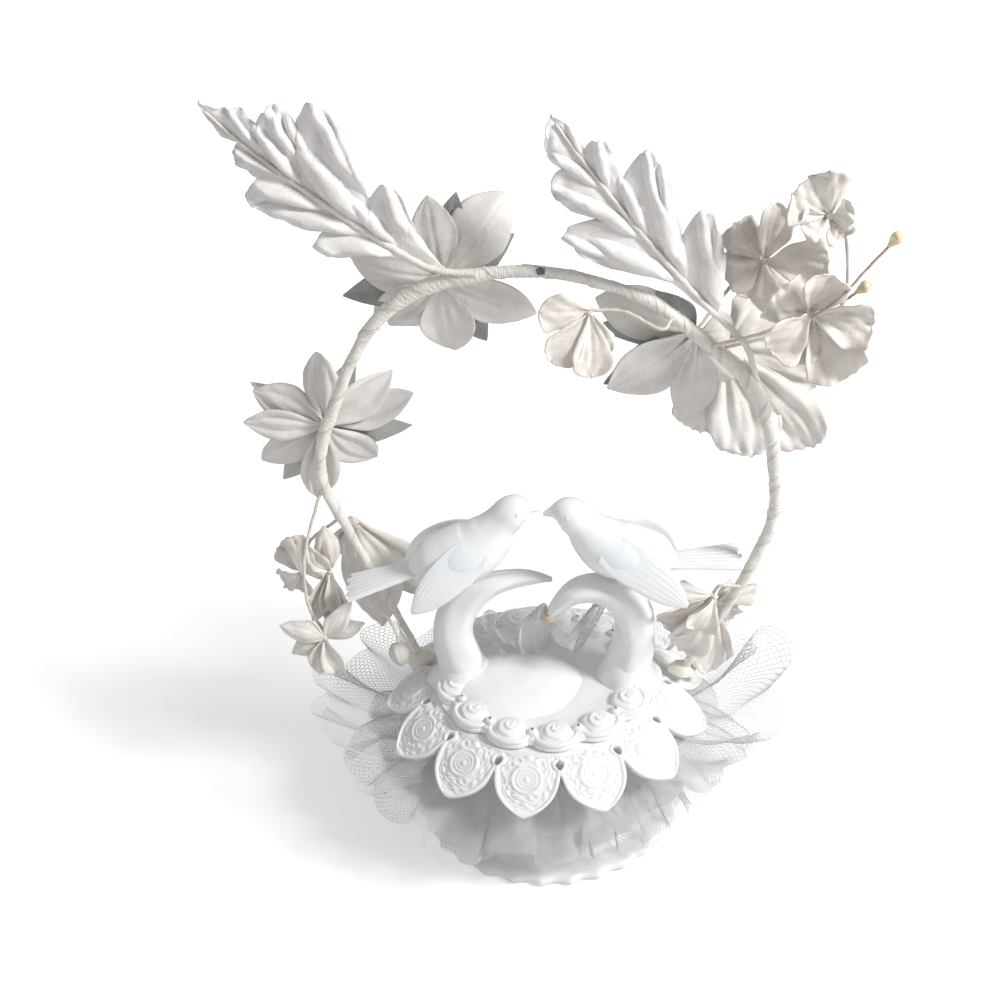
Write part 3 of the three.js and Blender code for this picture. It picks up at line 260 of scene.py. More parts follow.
def shell(sheet, wall, uv, relief=None):
    """A wall round a sheet of points; relief raises its upper face. All edges are closed."""
    rows, columns = sheet.shape[:2]
    facing = unit(np.cross(np.gradient(sheet, axis=0), np.gradient(sheet, axis=1)))
    wall = np.broadcast_to(np.asarray(wall, float), (rows, columns))[..., None]
    raised = wall / 2 + (0 if relief is None else relief[..., None])
    size = rows * columns
    index = np.arange(size).reshape(rows, columns)

    def edge(line):
        here, there = line[:-1], line[1:]
        return np.stack([here, there, there + size, here + size], 1)

    quads = np.concatenate([
        grid_quads(rows, columns), grid_quads(rows, columns, size, flip=True),
        edge(index[0]), edge(index[:, -1]), edge(index[-1][::-1]), edge(index[::-1, 0]),
    ])
    upper, lower = sheet + facing * raised, sheet - facing * wall / 2
    points = np.concatenate([upper.reshape(-1, 3), lower.reshape(-1, 3)])
    return Part().add(points, quads, uv=np.concatenate([uv.reshape(-1, 2)] * 2))


print("sheets ready")

# %% Tubes and turned bodies
cloth_girth = 4.0


def closed_rings(rings, uv, lids=None):
    """Faces between rings of equal count, with a fan over each end, to its lid point."""
    rows, sides = rings.shape[:2]
    start = np.arange(rows - 1)[:, None] * sides
    here, there = np.arange(sides), (np.arange(sides) + 1) % sides
    low, next_low = (start + here).ravel(), (start + there).ravel()
    quads = np.stack([low, next_low, next_low + sides, low + sides], 1)
    first, last = rows * sides, (rows - 1) * sides
    tris = np.concatenate([
        np.stack([np.full(sides, first), there, here], 1),
        np.stack([np.full(sides, first + 1), last + here, last + there], 1),
    ])
    lids = (rings[0].mean(0), rings[-1].mean(0)) if lids is None else lids
    uv = uv.reshape(-1, 2)
    points = np.concatenate([rings.reshape(-1, 3), np.asarray(lids, float)])
    return Part().add(points, quads, tris, np.concatenate([uv, uv[:1], uv[-1:]]))


def tube(path, radius, sides=16, sideways=(0, 1, 0), section=None, start=0.0):
    """A round body along a path. section(turn, share) reshapes its rings."""
    path = np.asarray(path, float)
    tangent = unit(np.gradient(path, axis=0))
    inner = unit(np.cross(tangent, np.asarray(sideways, float)))
    across = np.cross(tangent, inner)
    turn, share = turns(sides)[None, :], np.linspace(0, 1, len(path))[:, None]
    reach = np.broadcast_to(np.asarray(radius, float), len(path))[:, None] * np.ones((1, sides))
    if section is not None:
        reach = reach * section(turn, share)
    rings = path[:, None] + inner[:, None] * (reach * np.cos(turn + start))[..., None]
    rings = rings + across[:, None] * (reach * np.sin(turn + start))[..., None]
    return closed_rings(rings, grid(turn / TURN * cloth_girth, run_of(path)[:, None]))


def turned(profile, sides=96, wave=None, samples=0):
    """A body turned about Z. The profile runs from the axis outwards and back to the axis."""
    profile = curve_through(profile, samples) if samples else np.asarray(profile, float)
    lids = [(0, 0, profile[0, 1]), (0, 0, profile[-1, 1])]
    turn = turns(sides)[None, :]
    radius, level = (profile[1:-1, column, None] * np.ones((1, sides)) for column in (0, 1))
    if wave is not None:
        radius, level = wave(radius, level, turn)
    rings = grid(radius * np.cos(turn), radius * np.sin(turn), level)
    return closed_rings(rings, grid(radius * turn, level), lids)


def raised_by(rise, profile):
    return [(radius, rise + level) for radius, level in profile]


def ball(radius, sides=20, squash=1.0, wave=None):
    """A ball round the origin; wave(latitude, turn) swells it."""
    latitude = np.linspace(-math.pi / 2, math.pi / 2, sides // 2 + 2)[1:-1, None]
    turn = turns(sides)[None, :]
    reach = radius * (np.ones_like(latitude * turn) if wave is None else wave(latitude, turn))
    out = reach * np.cos(latitude)
    rings = grid(out * np.cos(turn), out * np.sin(turn), reach * np.sin(latitude) * squash)
    return closed_rings(rings, rings[..., :2])


print("shape helpers ready")

# %% [markdown]
# ## Finishes
# Everything here is white, so the finishes differ in gloss, in weave and in small faults:
# moulded plastic with a soft bloom, polished birds, ribbed satin, open net, crinkled paper
# tape. Each finish is a short function, and a `Finish` holds what they all need: the shader
# and one call for each kind of pattern. Patterns on cloth read the piece's own `cloth`
# coordinates, which are millimetres along and across the sheet.

# %% Nodes
def wire_in(tree, socket, value):
    """Link another node's output to a socket, or set a number or a colour on it."""
    if isinstance(value, bpy.types.NodeSocket):
        tree.links.new(value, socket)
    else:
        socket.default_value = value


def add_node(tree, kind, inputs=(), **settings):
    node = tree.nodes.new(kind)
    for name, value in settings.items():
        setattr(node, name, value)
    for socket, value in dict(inputs).items():
        wire_in(tree, node.inputs[socket], value)
    return node


print("nodes ready")

# %% Patterns of a finish
wave_period = 0.314


class Finish:
    """A Principled material, with a short call for each pattern that the finishes use."""

    def __init__(self, name, colour, roughness, **sockets):
        self.material = bpy.data.materials.new(name)
        self.material.use_nodes = True
        self.tree = self.material.node_tree
        self.shader = self.tree.nodes["Principled BSDF"]
        self.result = self.tree.nodes["Material Output"]
        self.show(Base_Color=(*colour, 1), Roughness=roughness, **sockets)

    def show(self, **sockets):
        """Set or link the shader's own sockets; a _ stands for the space in a name."""
        for name, value in sockets.items():
            wire_in(self.tree, self.shader.inputs[name.replace("_", " ")], value)
        return self.material

    def add(self, kind, inputs=(), **settings):
        return add_node(self.tree, "ShaderNode" + kind, inputs, **settings)

    def maths(self, operation, *values):
        return self.add("Math", dict(enumerate(values)), operation=operation).outputs[0]

    def place(self):
        return self.add("TexCoord").outputs["Object"]

    def cloth(self):
        return self.add("UVMap", uv_map="cloth").outputs["UV"]

    def noise(self, feature, detail=3.0, roughness=0.55):
        """Noise whose lumps are about one feature wide, in metres."""
        return self.add("TexNoise", {
            "Vector": self.place(), "Scale": 1 / feature, "Detail": detail, "Roughness": roughness,
        }).outputs["Fac"]

    def ribs(self, pitch, direction, wander):
        """Parallel ribs on the cloth, a pitch apart, in millimetres."""
        return self.add("TexWave", {
            "Vector": self.cloth(), "Scale": wave_period / pitch, "Distortion": wander, "Detail Scale": 1.5,
        }, bands_direction=direction).outputs["Fac"]

    def spread(self, value, low, high, start=0.0, end=1.0):
        """Map a value between two stops to a number between two ends."""
        return self.add("MapRange", {
            "Value": value, "From Min": low, "From Max": high, "To Min": start, "To Max": end,
        }).outputs["Result"]

    def mix(self, factor, under, over):
        """One colour over another, by a factor. A colour is three numbers or a socket."""
        under, over = ((*colour, 1) if isinstance(colour, tuple) else colour for colour in (under, over))
        mixer = self.add("Mix", {"Factor": factor, "A": under, "B": over}, data_type="RGBA")
        return mixer.outputs["Result"]

    def relief(self, *layers):
        """Bumps laid over each other, the finest first: (height, depth in metres, strength)."""
        under = {}
        for height, depth, strength in layers:
            bump = self.add("Bump", {"Height": height, "Distance": depth, "Strength": strength, **under})
            under = {"Normal": bump.outputs["Normal"]}
        return bump.outputs["Normal"]


print("patterns ready")

# %% Plastic, glue, pearl and wire
def moulded_white():
    """Cast plastic: bright white, a satin gloss that varies, faint orange peel and dust."""
    finish = Finish("moulded_white", (0.86, 0.86, 0.855), 0.36, Subsurface_Weight=0.12,
                    Subsurface_Scale=0.002, Coat_Weight=0.12, Coat_Roughness=0.3)
    cloud, dust = finish.noise(0.006), finish.noise(0.0016, 4.0)
    bloom = finish.mix(finish.spread(cloud, 0.35, 0.7), (0.83, 0.83, 0.825), (0.88, 0.88, 0.875))
    return finish.show(
        Base_Color=finish.mix(finish.spread(dust, 0.68, 0.8, 0, 0.25), bloom, (0.7, 0.69, 0.66)),
        Roughness=finish.spread(cloud, 0.3, 0.7, 0.3, 0.46),
        Normal=finish.relief(
            (finish.noise(0.0007, 2.0), 0.00004, 1), (finish.noise(0.004, 2.0), 0.00012, 1)),
    )


def polished_bird():
    """The birds are cast in a harder plastic: cool white, glossy, with soft waves."""
    finish = Finish("polished_bird", (0.83, 0.85, 0.875), 0.2, Subsurface_Weight=0.1,
                    Subsurface_Scale=0.002, Coat_Weight=0.5, Coat_Roughness=0.12)
    cloud = finish.noise(0.005, 2.0)
    return finish.show(
        Base_Color=finish.mix(cloud, (0.84, 0.855, 0.88), (0.88, 0.89, 0.905)),
        Roughness=finish.spread(cloud, 0.3, 0.7, 0.15, 0.28),
        Normal=finish.relief((finish.noise(0.0022, 2.0), 0.00008, 1)),
    )


def old_glue(name, clear_colour, pooled_colour):
    """A dried drop of glue, clear enough to look deeper than it is."""
    finish = Finish(name, clear_colour, 0.22, Subsurface_Weight=0.5, Subsurface_Scale=0.003,
                    Coat_Weight=0.4, Coat_Roughness=0.15)
    cloud = finish.noise(0.0015)
    return finish.show(Base_Color=finish.mix(cloud, clear_colour, pooled_colour),
                       Normal=finish.relief((cloud, 0.0002, 1)))


def dipped_pearl():
    """Stamen buds dipped in pearl varnish: cream, yellower where it has pooled."""
    finish = Finish("dipped_pearl", (0.8, 0.7, 0.45), 0.24, Coat_Weight=0.6, Coat_Roughness=0.12,
                    Sheen_Weight=0.2)
    cloud = finish.noise(0.0011)
    return finish.show(
        Base_Color=finish.mix(finish.spread(cloud, 0.35, 0.65), (0.84, 0.77, 0.56), (0.72, 0.58, 0.3)),
        Normal=finish.relief((cloud, 0.00008, 1)),
    )


def bare_wire():
    """Annealed iron wire with brown spots."""
    finish = Finish("bare_wire", (0.4, 0.38, 0.35), 0.4, Metallic=0.85)
    rust = finish.noise(0.0009)
    return finish.show(
        Base_Color=finish.mix(finish.spread(rust, 0.5, 0.68), (0.45, 0.43, 0.4), (0.24, 0.14, 0.08)),
        Roughness=finish.spread(rust, 0.4, 0.7, 0.32, 0.75),
        Normal=finish.relief((rust, 0.00006, 1)),
    )


moulded, bird_gloss = moulded_white(), polished_bird()
amber_glue = old_glue("amber_glue", (0.62, 0.58, 0.45), (0.4, 0.34, 0.23))
pale_glue = old_glue("pale_glue", (0.85, 0.835, 0.8), (0.76, 0.72, 0.63))
pearl_varnish, wire = dipped_pearl(), bare_wire()
print("hard finishes:", [m.name for m in (moulded, bird_gloss, amber_glue, pale_glue, pearl_varnish, wire)])

# %% [markdown]
# ### Satin, sheer leaf, net and paper
# Acetate satin has fine ribs across the petal, a soft sheen and faint long creases from the
# hot press. The sheer leaves are a grey-green open weave, and one pair is paler. The net's
# threads are lit through from behind. The tape is crepe paper: its creases run across the
# winding, each lap shades the one before it, and handling has left it yellow in places.

# %% Satin, sheer leaf and net thread
speck_colour, weave_hole_colour = (0.2, 0.16, 0.13), (0.09, 0.1, 0.09)


def pressed_satin(name, light, shade, gloss=0.42, specks=0.0, sheen=0.35):
    """Satin in two tones of one colour, ribbed both ways, with painted shade between the weft ribs and
    specks of dirt if it is old.
    """
    finish = Finish(name, light, gloss, Sheen_Weight=sheen, Sheen_Roughness=0.35,
                    Subsurface_Weight=0.06, Subsurface_Scale=0.001)
    cloud = finish.noise(0.007, 4.0)
    weft, warp = finish.ribs(0.46, "X", 0.6), finish.ribs(0.3, "Y", 0.5)
    colour = finish.mix(finish.spread(cloud, 0.36, 0.68), shade, light)
    # Painted shade: the troughs between the weft ribs are darkened towards the shade tone, on top of their
    # bump.
    colour = finish.mix(finish.spread(weft, 0.0, 0.45, 0.16, 0.0), colour, shade)
    if specks:
        dots = finish.spread(finish.noise(0.0008, 2.0), 0.735, 0.77, 0, specks)
        colour = finish.mix(dots, colour, speck_colour)
    return finish.show(
        Base_Color=colour,
        Roughness=finish.spread(cloud, 0.3, 0.7, gloss - 0.08, gloss + 0.12),
        Normal=finish.relief(
            (weft, 0.00006, 0.5), (warp, 0.00002, 0.4), (finish.noise(0.0034), 0.0005, 0.55)),
    )


def sheer_weave(name, light, shade):
    """An open weave: dark where its ribs cross, because light falls through there."""
    finish = Finish(name, light, 0.7, Sheen_Weight=0.3)
    cross = finish.maths("MULTIPLY", finish.ribs(0.5, "X", 0.4), finish.ribs(0.5, "Y", 0.4))
    colour = finish.mix(finish.spread(finish.noise(0.006), 0.35, 0.7), shade, light)
    holes = finish.spread(cross, 0.3, 0.7, 0.0, 0.6)
    return finish.show(Base_Color=finish.mix(holes, colour, weave_hole_colour),
                       Normal=finish.relief((cross, 0.00012, 1)))


def net_thread():
    """Nylon thread: white, and lit through from behind as thin nylon is."""
    finish = Finish("net_thread", (0.9, 0.91, 0.92), 0.4, Sheen_Weight=0.3)
    colour = finish.mix(finish.noise(0.004), (0.87, 0.88, 0.89), (0.95, 0.955, 0.96))
    finish.show(Base_Color=colour, Normal=finish.relief((finish.noise(0.0005), 0.00003, 1)))
    through = finish.add("BsdfTranslucent", {"Color": colour})
    both = finish.add("MixShader", {"Fac": 0.45, 1: finish.shader.outputs[0], 2: through.outputs[0]})
    wire_in(finish.tree, finish.result.inputs["Surface"], both.outputs[0])
    return finish.material


lily_satin = pressed_satin("lily_satin", (0.845, 0.82, 0.8), (0.7, 0.665, 0.635))
leaf_satin = pressed_satin("leaf_satin", (0.85, 0.835, 0.83), (0.72, 0.695, 0.68), gloss=0.27, sheen=0.25)
spray_satin = pressed_satin("spray_satin", (0.835, 0.8, 0.765), (0.66, 0.615, 0.57), specks=0.8)
aged_satin = pressed_satin("aged_satin", (0.85, 0.82, 0.785), (0.71, 0.67, 0.63), gloss=0.5, specks=0.4)
sheer_leaf = sheer_weave("sheer_leaf", (0.43, 0.46, 0.43), (0.32, 0.35, 0.32))
pale_sheer = sheer_weave("pale_sheer", (0.72, 0.72, 0.68), (0.6, 0.6, 0.57))
net = net_thread()
cloths = lily_satin, leaf_satin, spray_satin, aged_satin, sheer_leaf, pale_sheer, net
print("cloth finishes:", [cloth.name for cloth in cloths])

# %% Crepe paper
tape_winding = 8.5
tape_mark = ((0.0012, -0.0001, 0.1436), 0.0012)
lap_colour, ink_colour = (0.55, 0.5, 0.43), (0.07, 0.07, 0.075)


def lap_shadow(finish, winding):
    """Dark just before each edge of the winding: the share of a turn since the last edge."""
    along = finish.add("SeparateXYZ", {0: finish.cloth()}).outputs["X"]
    since_edge = finish.maths("FRACT", finish.maths("DIVIDE", along, winding))
    return finish.spread(since_edge, 0.8, 0.98, 0.0, 0.6)


def ink_mark(finish, centre, size):
    """One dark smudge: full inside its size, gone a little way outside it."""
    apart = finish.add("VectorMath", {0: finish.place(), 1: centre}, operation="DISTANCE").outputs["Value"]
    ragged = finish.maths("MULTIPLY_ADD", finish.noise(size * 0.7, 2.0), size, apart)
    return finish.spread(ragged, size * 1.25, size * 1.45, 0.88, 0.0)


def crepe_paper(name, light, shade, dirt, winding=0.0, mark=None):
    """Crinkled paper with dirt in its folds, and on tape the shadow of each lap and a mark."""
    finish = Finish(name, light, 0.72, Sheen_Weight=0.15)
    colour = finish.mix(finish.spread(finish.noise(0.005, 5.0), 0.38, 0.66), light, shade)
    if winding:
        colour = finish.mix(lap_shadow(finish, winding), colour, lap_colour)
    colour = finish.mix(finish.spread(finish.noise(0.0019, 4.0, 0.7), 0.6, 0.74, 0, 0.6), colour, dirt)
    if mark:
        colour = finish.mix(ink_mark(finish, *mark), colour, ink_colour)
    crinkle, lumps = finish.ribs(0.55, "Y", 5.0), finish.noise(0.0012, 4.0)
    relief = finish.relief((crinkle, 0.00008, 0.7), (lumps, 0.0002, 0.6))
    return finish.show(Base_Color=colour, Normal=relief)


tape_paper = crepe_paper("tape_paper", (0.84, 0.82, 0.78), (0.76, 0.73, 0.68), (0.5, 0.42, 0.32),
                         tape_winding, tape_mark)
stem_paper = crepe_paper("stem_paper", (0.76, 0.73, 0.66), (0.62, 0.58, 0.5), (0.4, 0.33, 0.25))
rib_paper = crepe_paper("rib_paper", (0.82, 0.79, 0.75), (0.72, 0.68, 0.63), (0.5, 0.43, 0.35))
stamen_paper = crepe_paper("stamen_paper", (0.52, 0.42, 0.36), (0.38, 0.3, 0.25), (0.3, 0.2, 0.16))
print("papers:", [m.name for m in (tape_paper, stem_paper, rib_paper, stamen_paper)])

# %% [markdown]
# ## The moulded stand
# The stand is cast in white plastic: a foot plate with a ribbed rim, a drum, and a disc that
# carries thirteen leaves bent downwards. Sizes come from the frame where a CAD node has
# them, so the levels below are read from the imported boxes.

# %% Levels from the frame
def level_of(node, top=True):
    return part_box(node)[1 if top else 0].z / MM


plate_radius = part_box("foot_plate")[1].x / MM
plate_top = level_of("foot_plate")
drum_floor, drum_top = level_of("pedestal_drum", top=False), level_of("pedestal_drum")
skirt_top = 36.0
mound_floor = level_of("rose_mound", top=False)
scroll_floor = level_of("scroll_left", top=False)
leaf_count = 13
first_leaf = math.radians(-73)
leaf_pitch = TURN / leaf_count
print("drum", round(drum_floor, 2), "to", round(drum_top, 2), "mound from", round(mound_floor, 2))

# %% Foot plate and drum
flute_count, flute_depth = 30, 1.1
step_height, step_radius, plate_hub = 1.2, 27.1, 18.0
drum_foot, drum_shoulder = 20.0, 23.5


def foot_plate():
    """A flat plate with a ribbed rim; the ribs fade towards its step."""
    rim = plate_top - step_height
    profile = [
        (0, 0), (plate_radius * 0.6, 0), (plate_radius - 1.3, 0), (plate_radius - 0.5, 0.15),
        (plate_radius, 0.7), (plate_radius, rim * 0.62), (plate_radius - 0.35, rim * 0.86),
        (plate_radius - 1.2, rim), (plate_radius - 3, rim), (step_radius + 0.5, rim),
        (step_radius, rim + 0.25), (step_radius - 0.3, plate_top - 0.2), (step_radius - 0.8, plate_top),
        (plate_hub, plate_top), (0, plate_top),
    ]

    def ribbed(radius, level, turn):
        rib = (0.5 - 0.5 * np.cos(turn * flute_count)) ** 0.7
        return radius - flute_depth * rib * fade(radius, plate_radius - 3.2, 2.2), level

    return turned(profile, 360, ribbed)


def drum():
    """The drum flares at its foot and again under the skirt: shares of its height upwards."""
    height = drum_top - drum_floor
    waist = drum_foot * 0.94
    profile = [
        (0, 0), (drum_foot * 1.04, 0), (drum_foot * 1.08, 0.4), (drum_foot * 1.07, height * 0.05),
        (waist * 1.04, height * 0.1), (waist, height * 0.2), (waist, height * 0.45),
        (waist * 1.05, height * 0.65), (drum_shoulder * 0.98, height * 0.86),
        (drum_shoulder, height * 0.94), (drum_shoulder, height - 0.1), (0, height),
    ]
    return turned(raised_by(drum_floor, profile), 160)


make("foot_plate_ribbed", foot_plate(), moulded, "moulded_plastic", "foot_plate", sharp=50)
make("drum_turned", drum(), moulded, "moulded_plastic", "pedestal_drum", sharp=50)
print("plate ribs:", flute_count)

# %% [markdown]
# ### Thirteen leaves and thirteen roses
# The same leaf and the same rose repeat round the stand, so each is modelled once and
# Geometry Nodes set the copies round the axis. The tree takes a count and a first turn,
# realizes its instances and sets their material, and the result becomes a plain mesh.

# %% A ring of repeats with Geometry Nodes
def ring_tree(material):
    """The tree, and the identifiers of its count and its first turn."""
    tree = bpy.data.node_groups.new("ring_of_repeats", "GeometryNodeTree")
    sockets = {}
    for title, kind in (("Geometry", "Geometry"), ("Count", "Int"), ("First turn", "Float")):
        sockets[title] = tree.interface.new_socket(title, in_out="INPUT", socket_type="NodeSocket" + kind)
    tree.interface.new_socket("Geometry", in_out="OUTPUT", socket_type="NodeSocketGeometry")
    given = add_node(tree, "NodeGroupInput").outputs
    pitch = add_node(tree, "ShaderNodeMath", {0: TURN, 1: given["Count"]}, operation="DIVIDE")
    index = add_node(tree, "GeometryNodeInputIndex")
    turn = add_node(tree, "ShaderNodeMath", {
        0: index.outputs[0], 1: pitch.outputs[0], 2: given["First turn"],
    }, operation="MULTIPLY_ADD")
    spots = add_node(tree, "GeometryNodePoints", {"Count": given["Count"]})
    spin = add_node(tree, "ShaderNodeCombineXYZ", {"Z": turn.outputs[0]})
    copies = add_node(tree, "GeometryNodeInstanceOnPoints", {
        "Points": spots.outputs[0], "Instance": given["Geometry"], "Rotation": spin.outputs[0],
    })
    real = add_node(tree, "GeometryNodeRealizeInstances", {0: copies.outputs[0]})
    painted = add_node(tree, "GeometryNodeSetMaterial", {"Geometry": real.outputs[0], "Material": material})
    add_node(tree, "NodeGroupOutput", {0: painted.outputs[0]})
    return tree, sockets["Count"].identifier, sockets["First turn"].identifier


def ring_of(name, part, material, count, first):
    """The evaluated mesh takes the place of the modifier that made it."""
    piece = add_object(name, mesh_from(name, part, material))
    tree, count_id, first_id = ring_tree(material)
    modifier = piece.modifiers.new("ring", "NODES")
    modifier.node_group = tree
    modifier[count_id] = count
    modifier[first_id] = first
    bpy.context.view_layer.update()
    graph = bpy.context.evaluated_depsgraph_get()
    mesh = bpy.data.meshes.new_from_object(piece.evaluated_get(graph))
    piece.modifiers.clear()
    piece.data = mesh
    return piece


print("ring tree ready")

# %% Outline and bend of a skirt leaf
leaf_root, leaf_length, leaf_half, leaf_wall = 26.2, 15.2, 7.3, 1.4
leaf_droop = math.radians(36)
hole_circle, hole_radius = 28.6, 1.1
web_end, web_fade = 31.2, 1.2


def leaf_half_share(along):
    """Share of the full half width: widest at a third of the length, pointed at the tip."""
    widest = 0.34
    tail = fade(along, widest, 1 - widest)
    swelling = 0.8 + 0.2 * np.sin(along / widest * math.pi / 2)
    return np.where(along < widest, swelling, (1.003 - tail ** 2.3) ** 0.78)


def leaf_spine(along):
    """Reach and drop of a leaf that bends down from level to its full droop."""
    fine = np.linspace(0, 1, 200)
    slope = leaf_droop * np.minimum(1, 0.25 + fine * 1.6)
    stride = leaf_length / (len(fine) - 1)
    reach = leaf_root + np.concatenate([[0], np.cumsum(stride * np.cos(slope[1:]))])
    drop = np.concatenate([[0], np.cumsum(stride * np.sin(slope[1:]))])
    return np.interp(along, fine, reach), np.interp(along, fine, drop)


print("leaf droop:", round(math.degrees(leaf_droop)), "degrees")

# %% Relief of a skirt leaf
target_place = 6.6
target_rings = [(3.05, 0.32, 0.46), (2.1, 0.24, 0.34), (1.3, 0.2, 0.26)]
rim_width, rim_height = 0.85, 0.5


def soft_step(value, edge, width):
    """0 below the edge and 1 above it, with a soft turn between."""
    return 1 / (1 + np.exp((edge - value) / width))


def leaf_relief(x, y, to_edge):
    """Raised rim, target rings round a boss, and chased scrolls between them."""
    distance, angle = np.hypot(x - target_place, y * 0.94), np.arctan2(y, x - target_place)
    rings = sum(height * np.exp(-((distance - radius) / width) ** 2)
                for radius, width, height in target_rings)
    boss = 0.36 * np.exp(-(distance / 0.62) ** 4)
    field = soft_step(distance, 3.6, 0.12) * soft_step(to_edge, 1.25, 0.1)
    swirl = np.sin(angle * 10 + np.sin(distance * 3) * 1.6) * np.sin(distance * 5 + np.cos(angle * 4) * 1.8)
    leafy = np.clip(swirl, -0.25, 0.6) * 0.42
    root_boss = 0.42 * np.exp(-(np.hypot(x - 1.9, y) / 0.95) ** 4)
    curls = 0.26 * np.exp(-((np.hypot(x - 2.6, np.abs(y) - 2.5) - 1.0) / 0.26) ** 2)
    rim = rim_height * (1 - soft_step(to_edge, rim_width, 0.07))
    return rim + rings + boss + field * leafy + (root_boss + curls * (x < 4.4)) * (to_edge > 0.7)


print("target rings:", len(target_rings))

# %% Thirteen skirt leaves
def crowded(low, high, count, share):
    """Even steps, drawn towards the ends by a share, where the relief needs finer rows."""
    even = np.linspace(low, high, count)
    return np.sin(even * math.pi / 2) * share + even * (1 - share)


def skirt_leaf():
    along, across = crowded(0, 1, 72, 0.6)[:, None], crowded(-1, 1, 51, 0.35)[None, :]
    reach, drop = leaf_spine(along)
    sector = reach * math.tan(leaf_pitch / 2) * 1.004
    hole = np.sqrt(np.maximum(hole_radius ** 2 - (reach - hole_circle) ** 2, 0))
    webbed = 1 - fade(reach, web_end - web_fade, web_fade)
    free = leaf_half * leaf_half_share(along)
    half = np.minimum(free * (1 - webbed) + sector * webbed, sector) - hole
    x, y = np.broadcast_arrays(along * leaf_length, across * half)
    to_edge = np.minimum((1 - np.abs(across)) * half, (1.02 - along) * leaf_length * 0.62)
    crown = leaf_wall * 0.5 * (np.abs(y) / leaf_half) ** 2
    sheet = grid(reach, y, skirt_top - leaf_wall / 2 - drop - crown)
    return shell(sheet, leaf_wall, grid(x, y), leaf_relief(x, y, to_edge))


leaves = ring_of("skirt_leaves", skirt_leaf(), moulded, leaf_count, first_leaf)
settle(leaves, "moulded_plastic", "leaf_skirt")
print("skirt triangles:", triangles(leaves))

# %% Disc of the skirt
disc_radius, disc_bevel = 27.6, 0.2
disc_profile = [
    (0, -leaf_wall), (disc_radius - disc_bevel, -leaf_wall), (disc_radius, disc_bevel - leaf_wall),
    (disc_radius, -disc_bevel), (disc_radius - disc_bevel, 0), (0, 0),
]
make("skirt_disc", turned(raised_by(skirt_top, disc_profile), 120), moulded, "moulded_plastic", sharp=50)
print("disc radius:", disc_radius)

# %% One moulded rose of the border
rose_circle, rose_arc_points = 22.3, 26
rose_dome = [
    (0, 0.2), (3.9, 0.2), (4.25, 0.7), (4.2, 1.3), (3.9, 1.9), (3.4, 2.5), (2.7, 3.0), (1.9, 3.4),
    (1.1, 3.65), (0.5, 3.75), (0, 3.78),
]


def spiral_petals(radius, level, turn):
    """The dome's waves: petal edges that wind twice inwards, and a ruffled skirt."""
    petal_edge = (turn / TURN * 2 - radius * 0.62) % 1.0
    relief = 0.42 * (1 - petal_edge) ** 1.6 * fade(radius, 0, 0.5) * np.clip((4.3 - radius) * 1.5, 0, 1)
    ruffled = radius * (1 + 0.035 * np.sin(turn * 5) * (radius > 2.5))
    return ruffled, level + relief * (level > 1.0)


def crescent(out, along, sweep, level, curl, thickest, thinnest):
    """A bead bent round the rose's outer side, thin at both ends."""
    angle = np.linspace(-math.radians(sweep), math.radians(sweep), rose_arc_points)
    inward = 1 - curl * np.linspace(-1, 1, rose_arc_points) ** 6
    x, y = rose_circle + out * np.cos(angle) * inward, along * np.sin(angle) * inward
    swell = np.sin(np.linspace(0, math.pi, rose_arc_points)) ** 0.6
    return tube(grid(x, y, mound_floor + level), thinnest + (thickest - thinnest) * swell, 12, (0, 0, 1))


def moulded_rose():
    """A domed rose of spiral petals on two crescents, with two leaf beads on each side."""
    part = turned(rose_dome, 56, spiral_petals, samples=70).moved((rose_circle - 0.1, 0, mound_floor))
    part.join(crescent(3.9, 5.0, 96, 1.75, 0.12, 0.8, 0.35), crescent(3.7, 5.3, 82, 0.7, 0, 1.0, 0.5))
    for side in (-1, 1):
        part.join(ball(1.2, 16, 0.9).moved((rose_circle - 0.6, side * 5.2, mound_floor + 2.3)),
                  ball(0.75, 12, 0.9).moved((rose_circle + 1.0, side * 5.5, mound_floor + 1.5)))
    return part


roses = ring_of("rose_border", moulded_rose(), moulded, leaf_count, first_leaf + leaf_pitch / 2)
settle(roses, "moulded_plastic", "rose_mound")
print("rose border triangles:", triangles(roses))

# %% Mound, pads and hump
heart_half, heart_height = 21.5, 25.0
scroll_feet = [(-0.93 * heart_half, 0.07 * heart_half), (0.93 * heart_half, -0.05 * heart_half)]
dish_profile = [
    (0, 0), (24.6, 0), (25.4, 0.3), (25.5, 1.0), (24.6, 1.9), (22.3, 2.3), (20.4, 1.9), (18.5, 1.3),
    (14, 1.2), (0, 1.3),
]
pad_profile = [
    (0, 0), (8.2, 0), (8.05, 0.6), (7.4, 1.5), (6.7, 2.8), (6.1, 4.1), (5.6, 5.2), (5.1, 6.3), (4.6, 7.2),
    (4.0, 7.9), (0, 8.0),
]
hump_profile = [
    (0, 0.1), (17, 0.1), (16.6, 0.7), (15.6, 1.5), (13.8, 2.5), (11.5, 3.5), (8.6, 4.3), (5, 4.85), (2, 5.0),
    (0, 5.02),
]
hump_place, hump_depth_share = (-0.36 * heart_half, -3.0), 0.88


def scalloped(radius, level, turn):
    scallop = np.cos((turn - first_leaf - leaf_pitch / 2) * leaf_count)
    return radius + 0.5 * scallop * fade(radius, 22, 3.5), level


def draped(radius, level, turn):
    drape = np.sin(turn * 3 + level * 0.5) + 0.5 * np.sin(turn * 7 - level * 0.9)
    return radius * (1 + 0.035 * drape * fade(radius, 4.5, 2)), level


def billowed(radius, level, turn):
    return radius * (1 + 0.05 * np.sin(turn * 2 + 0.6) + 0.02 * np.sin(turn * 5)), level


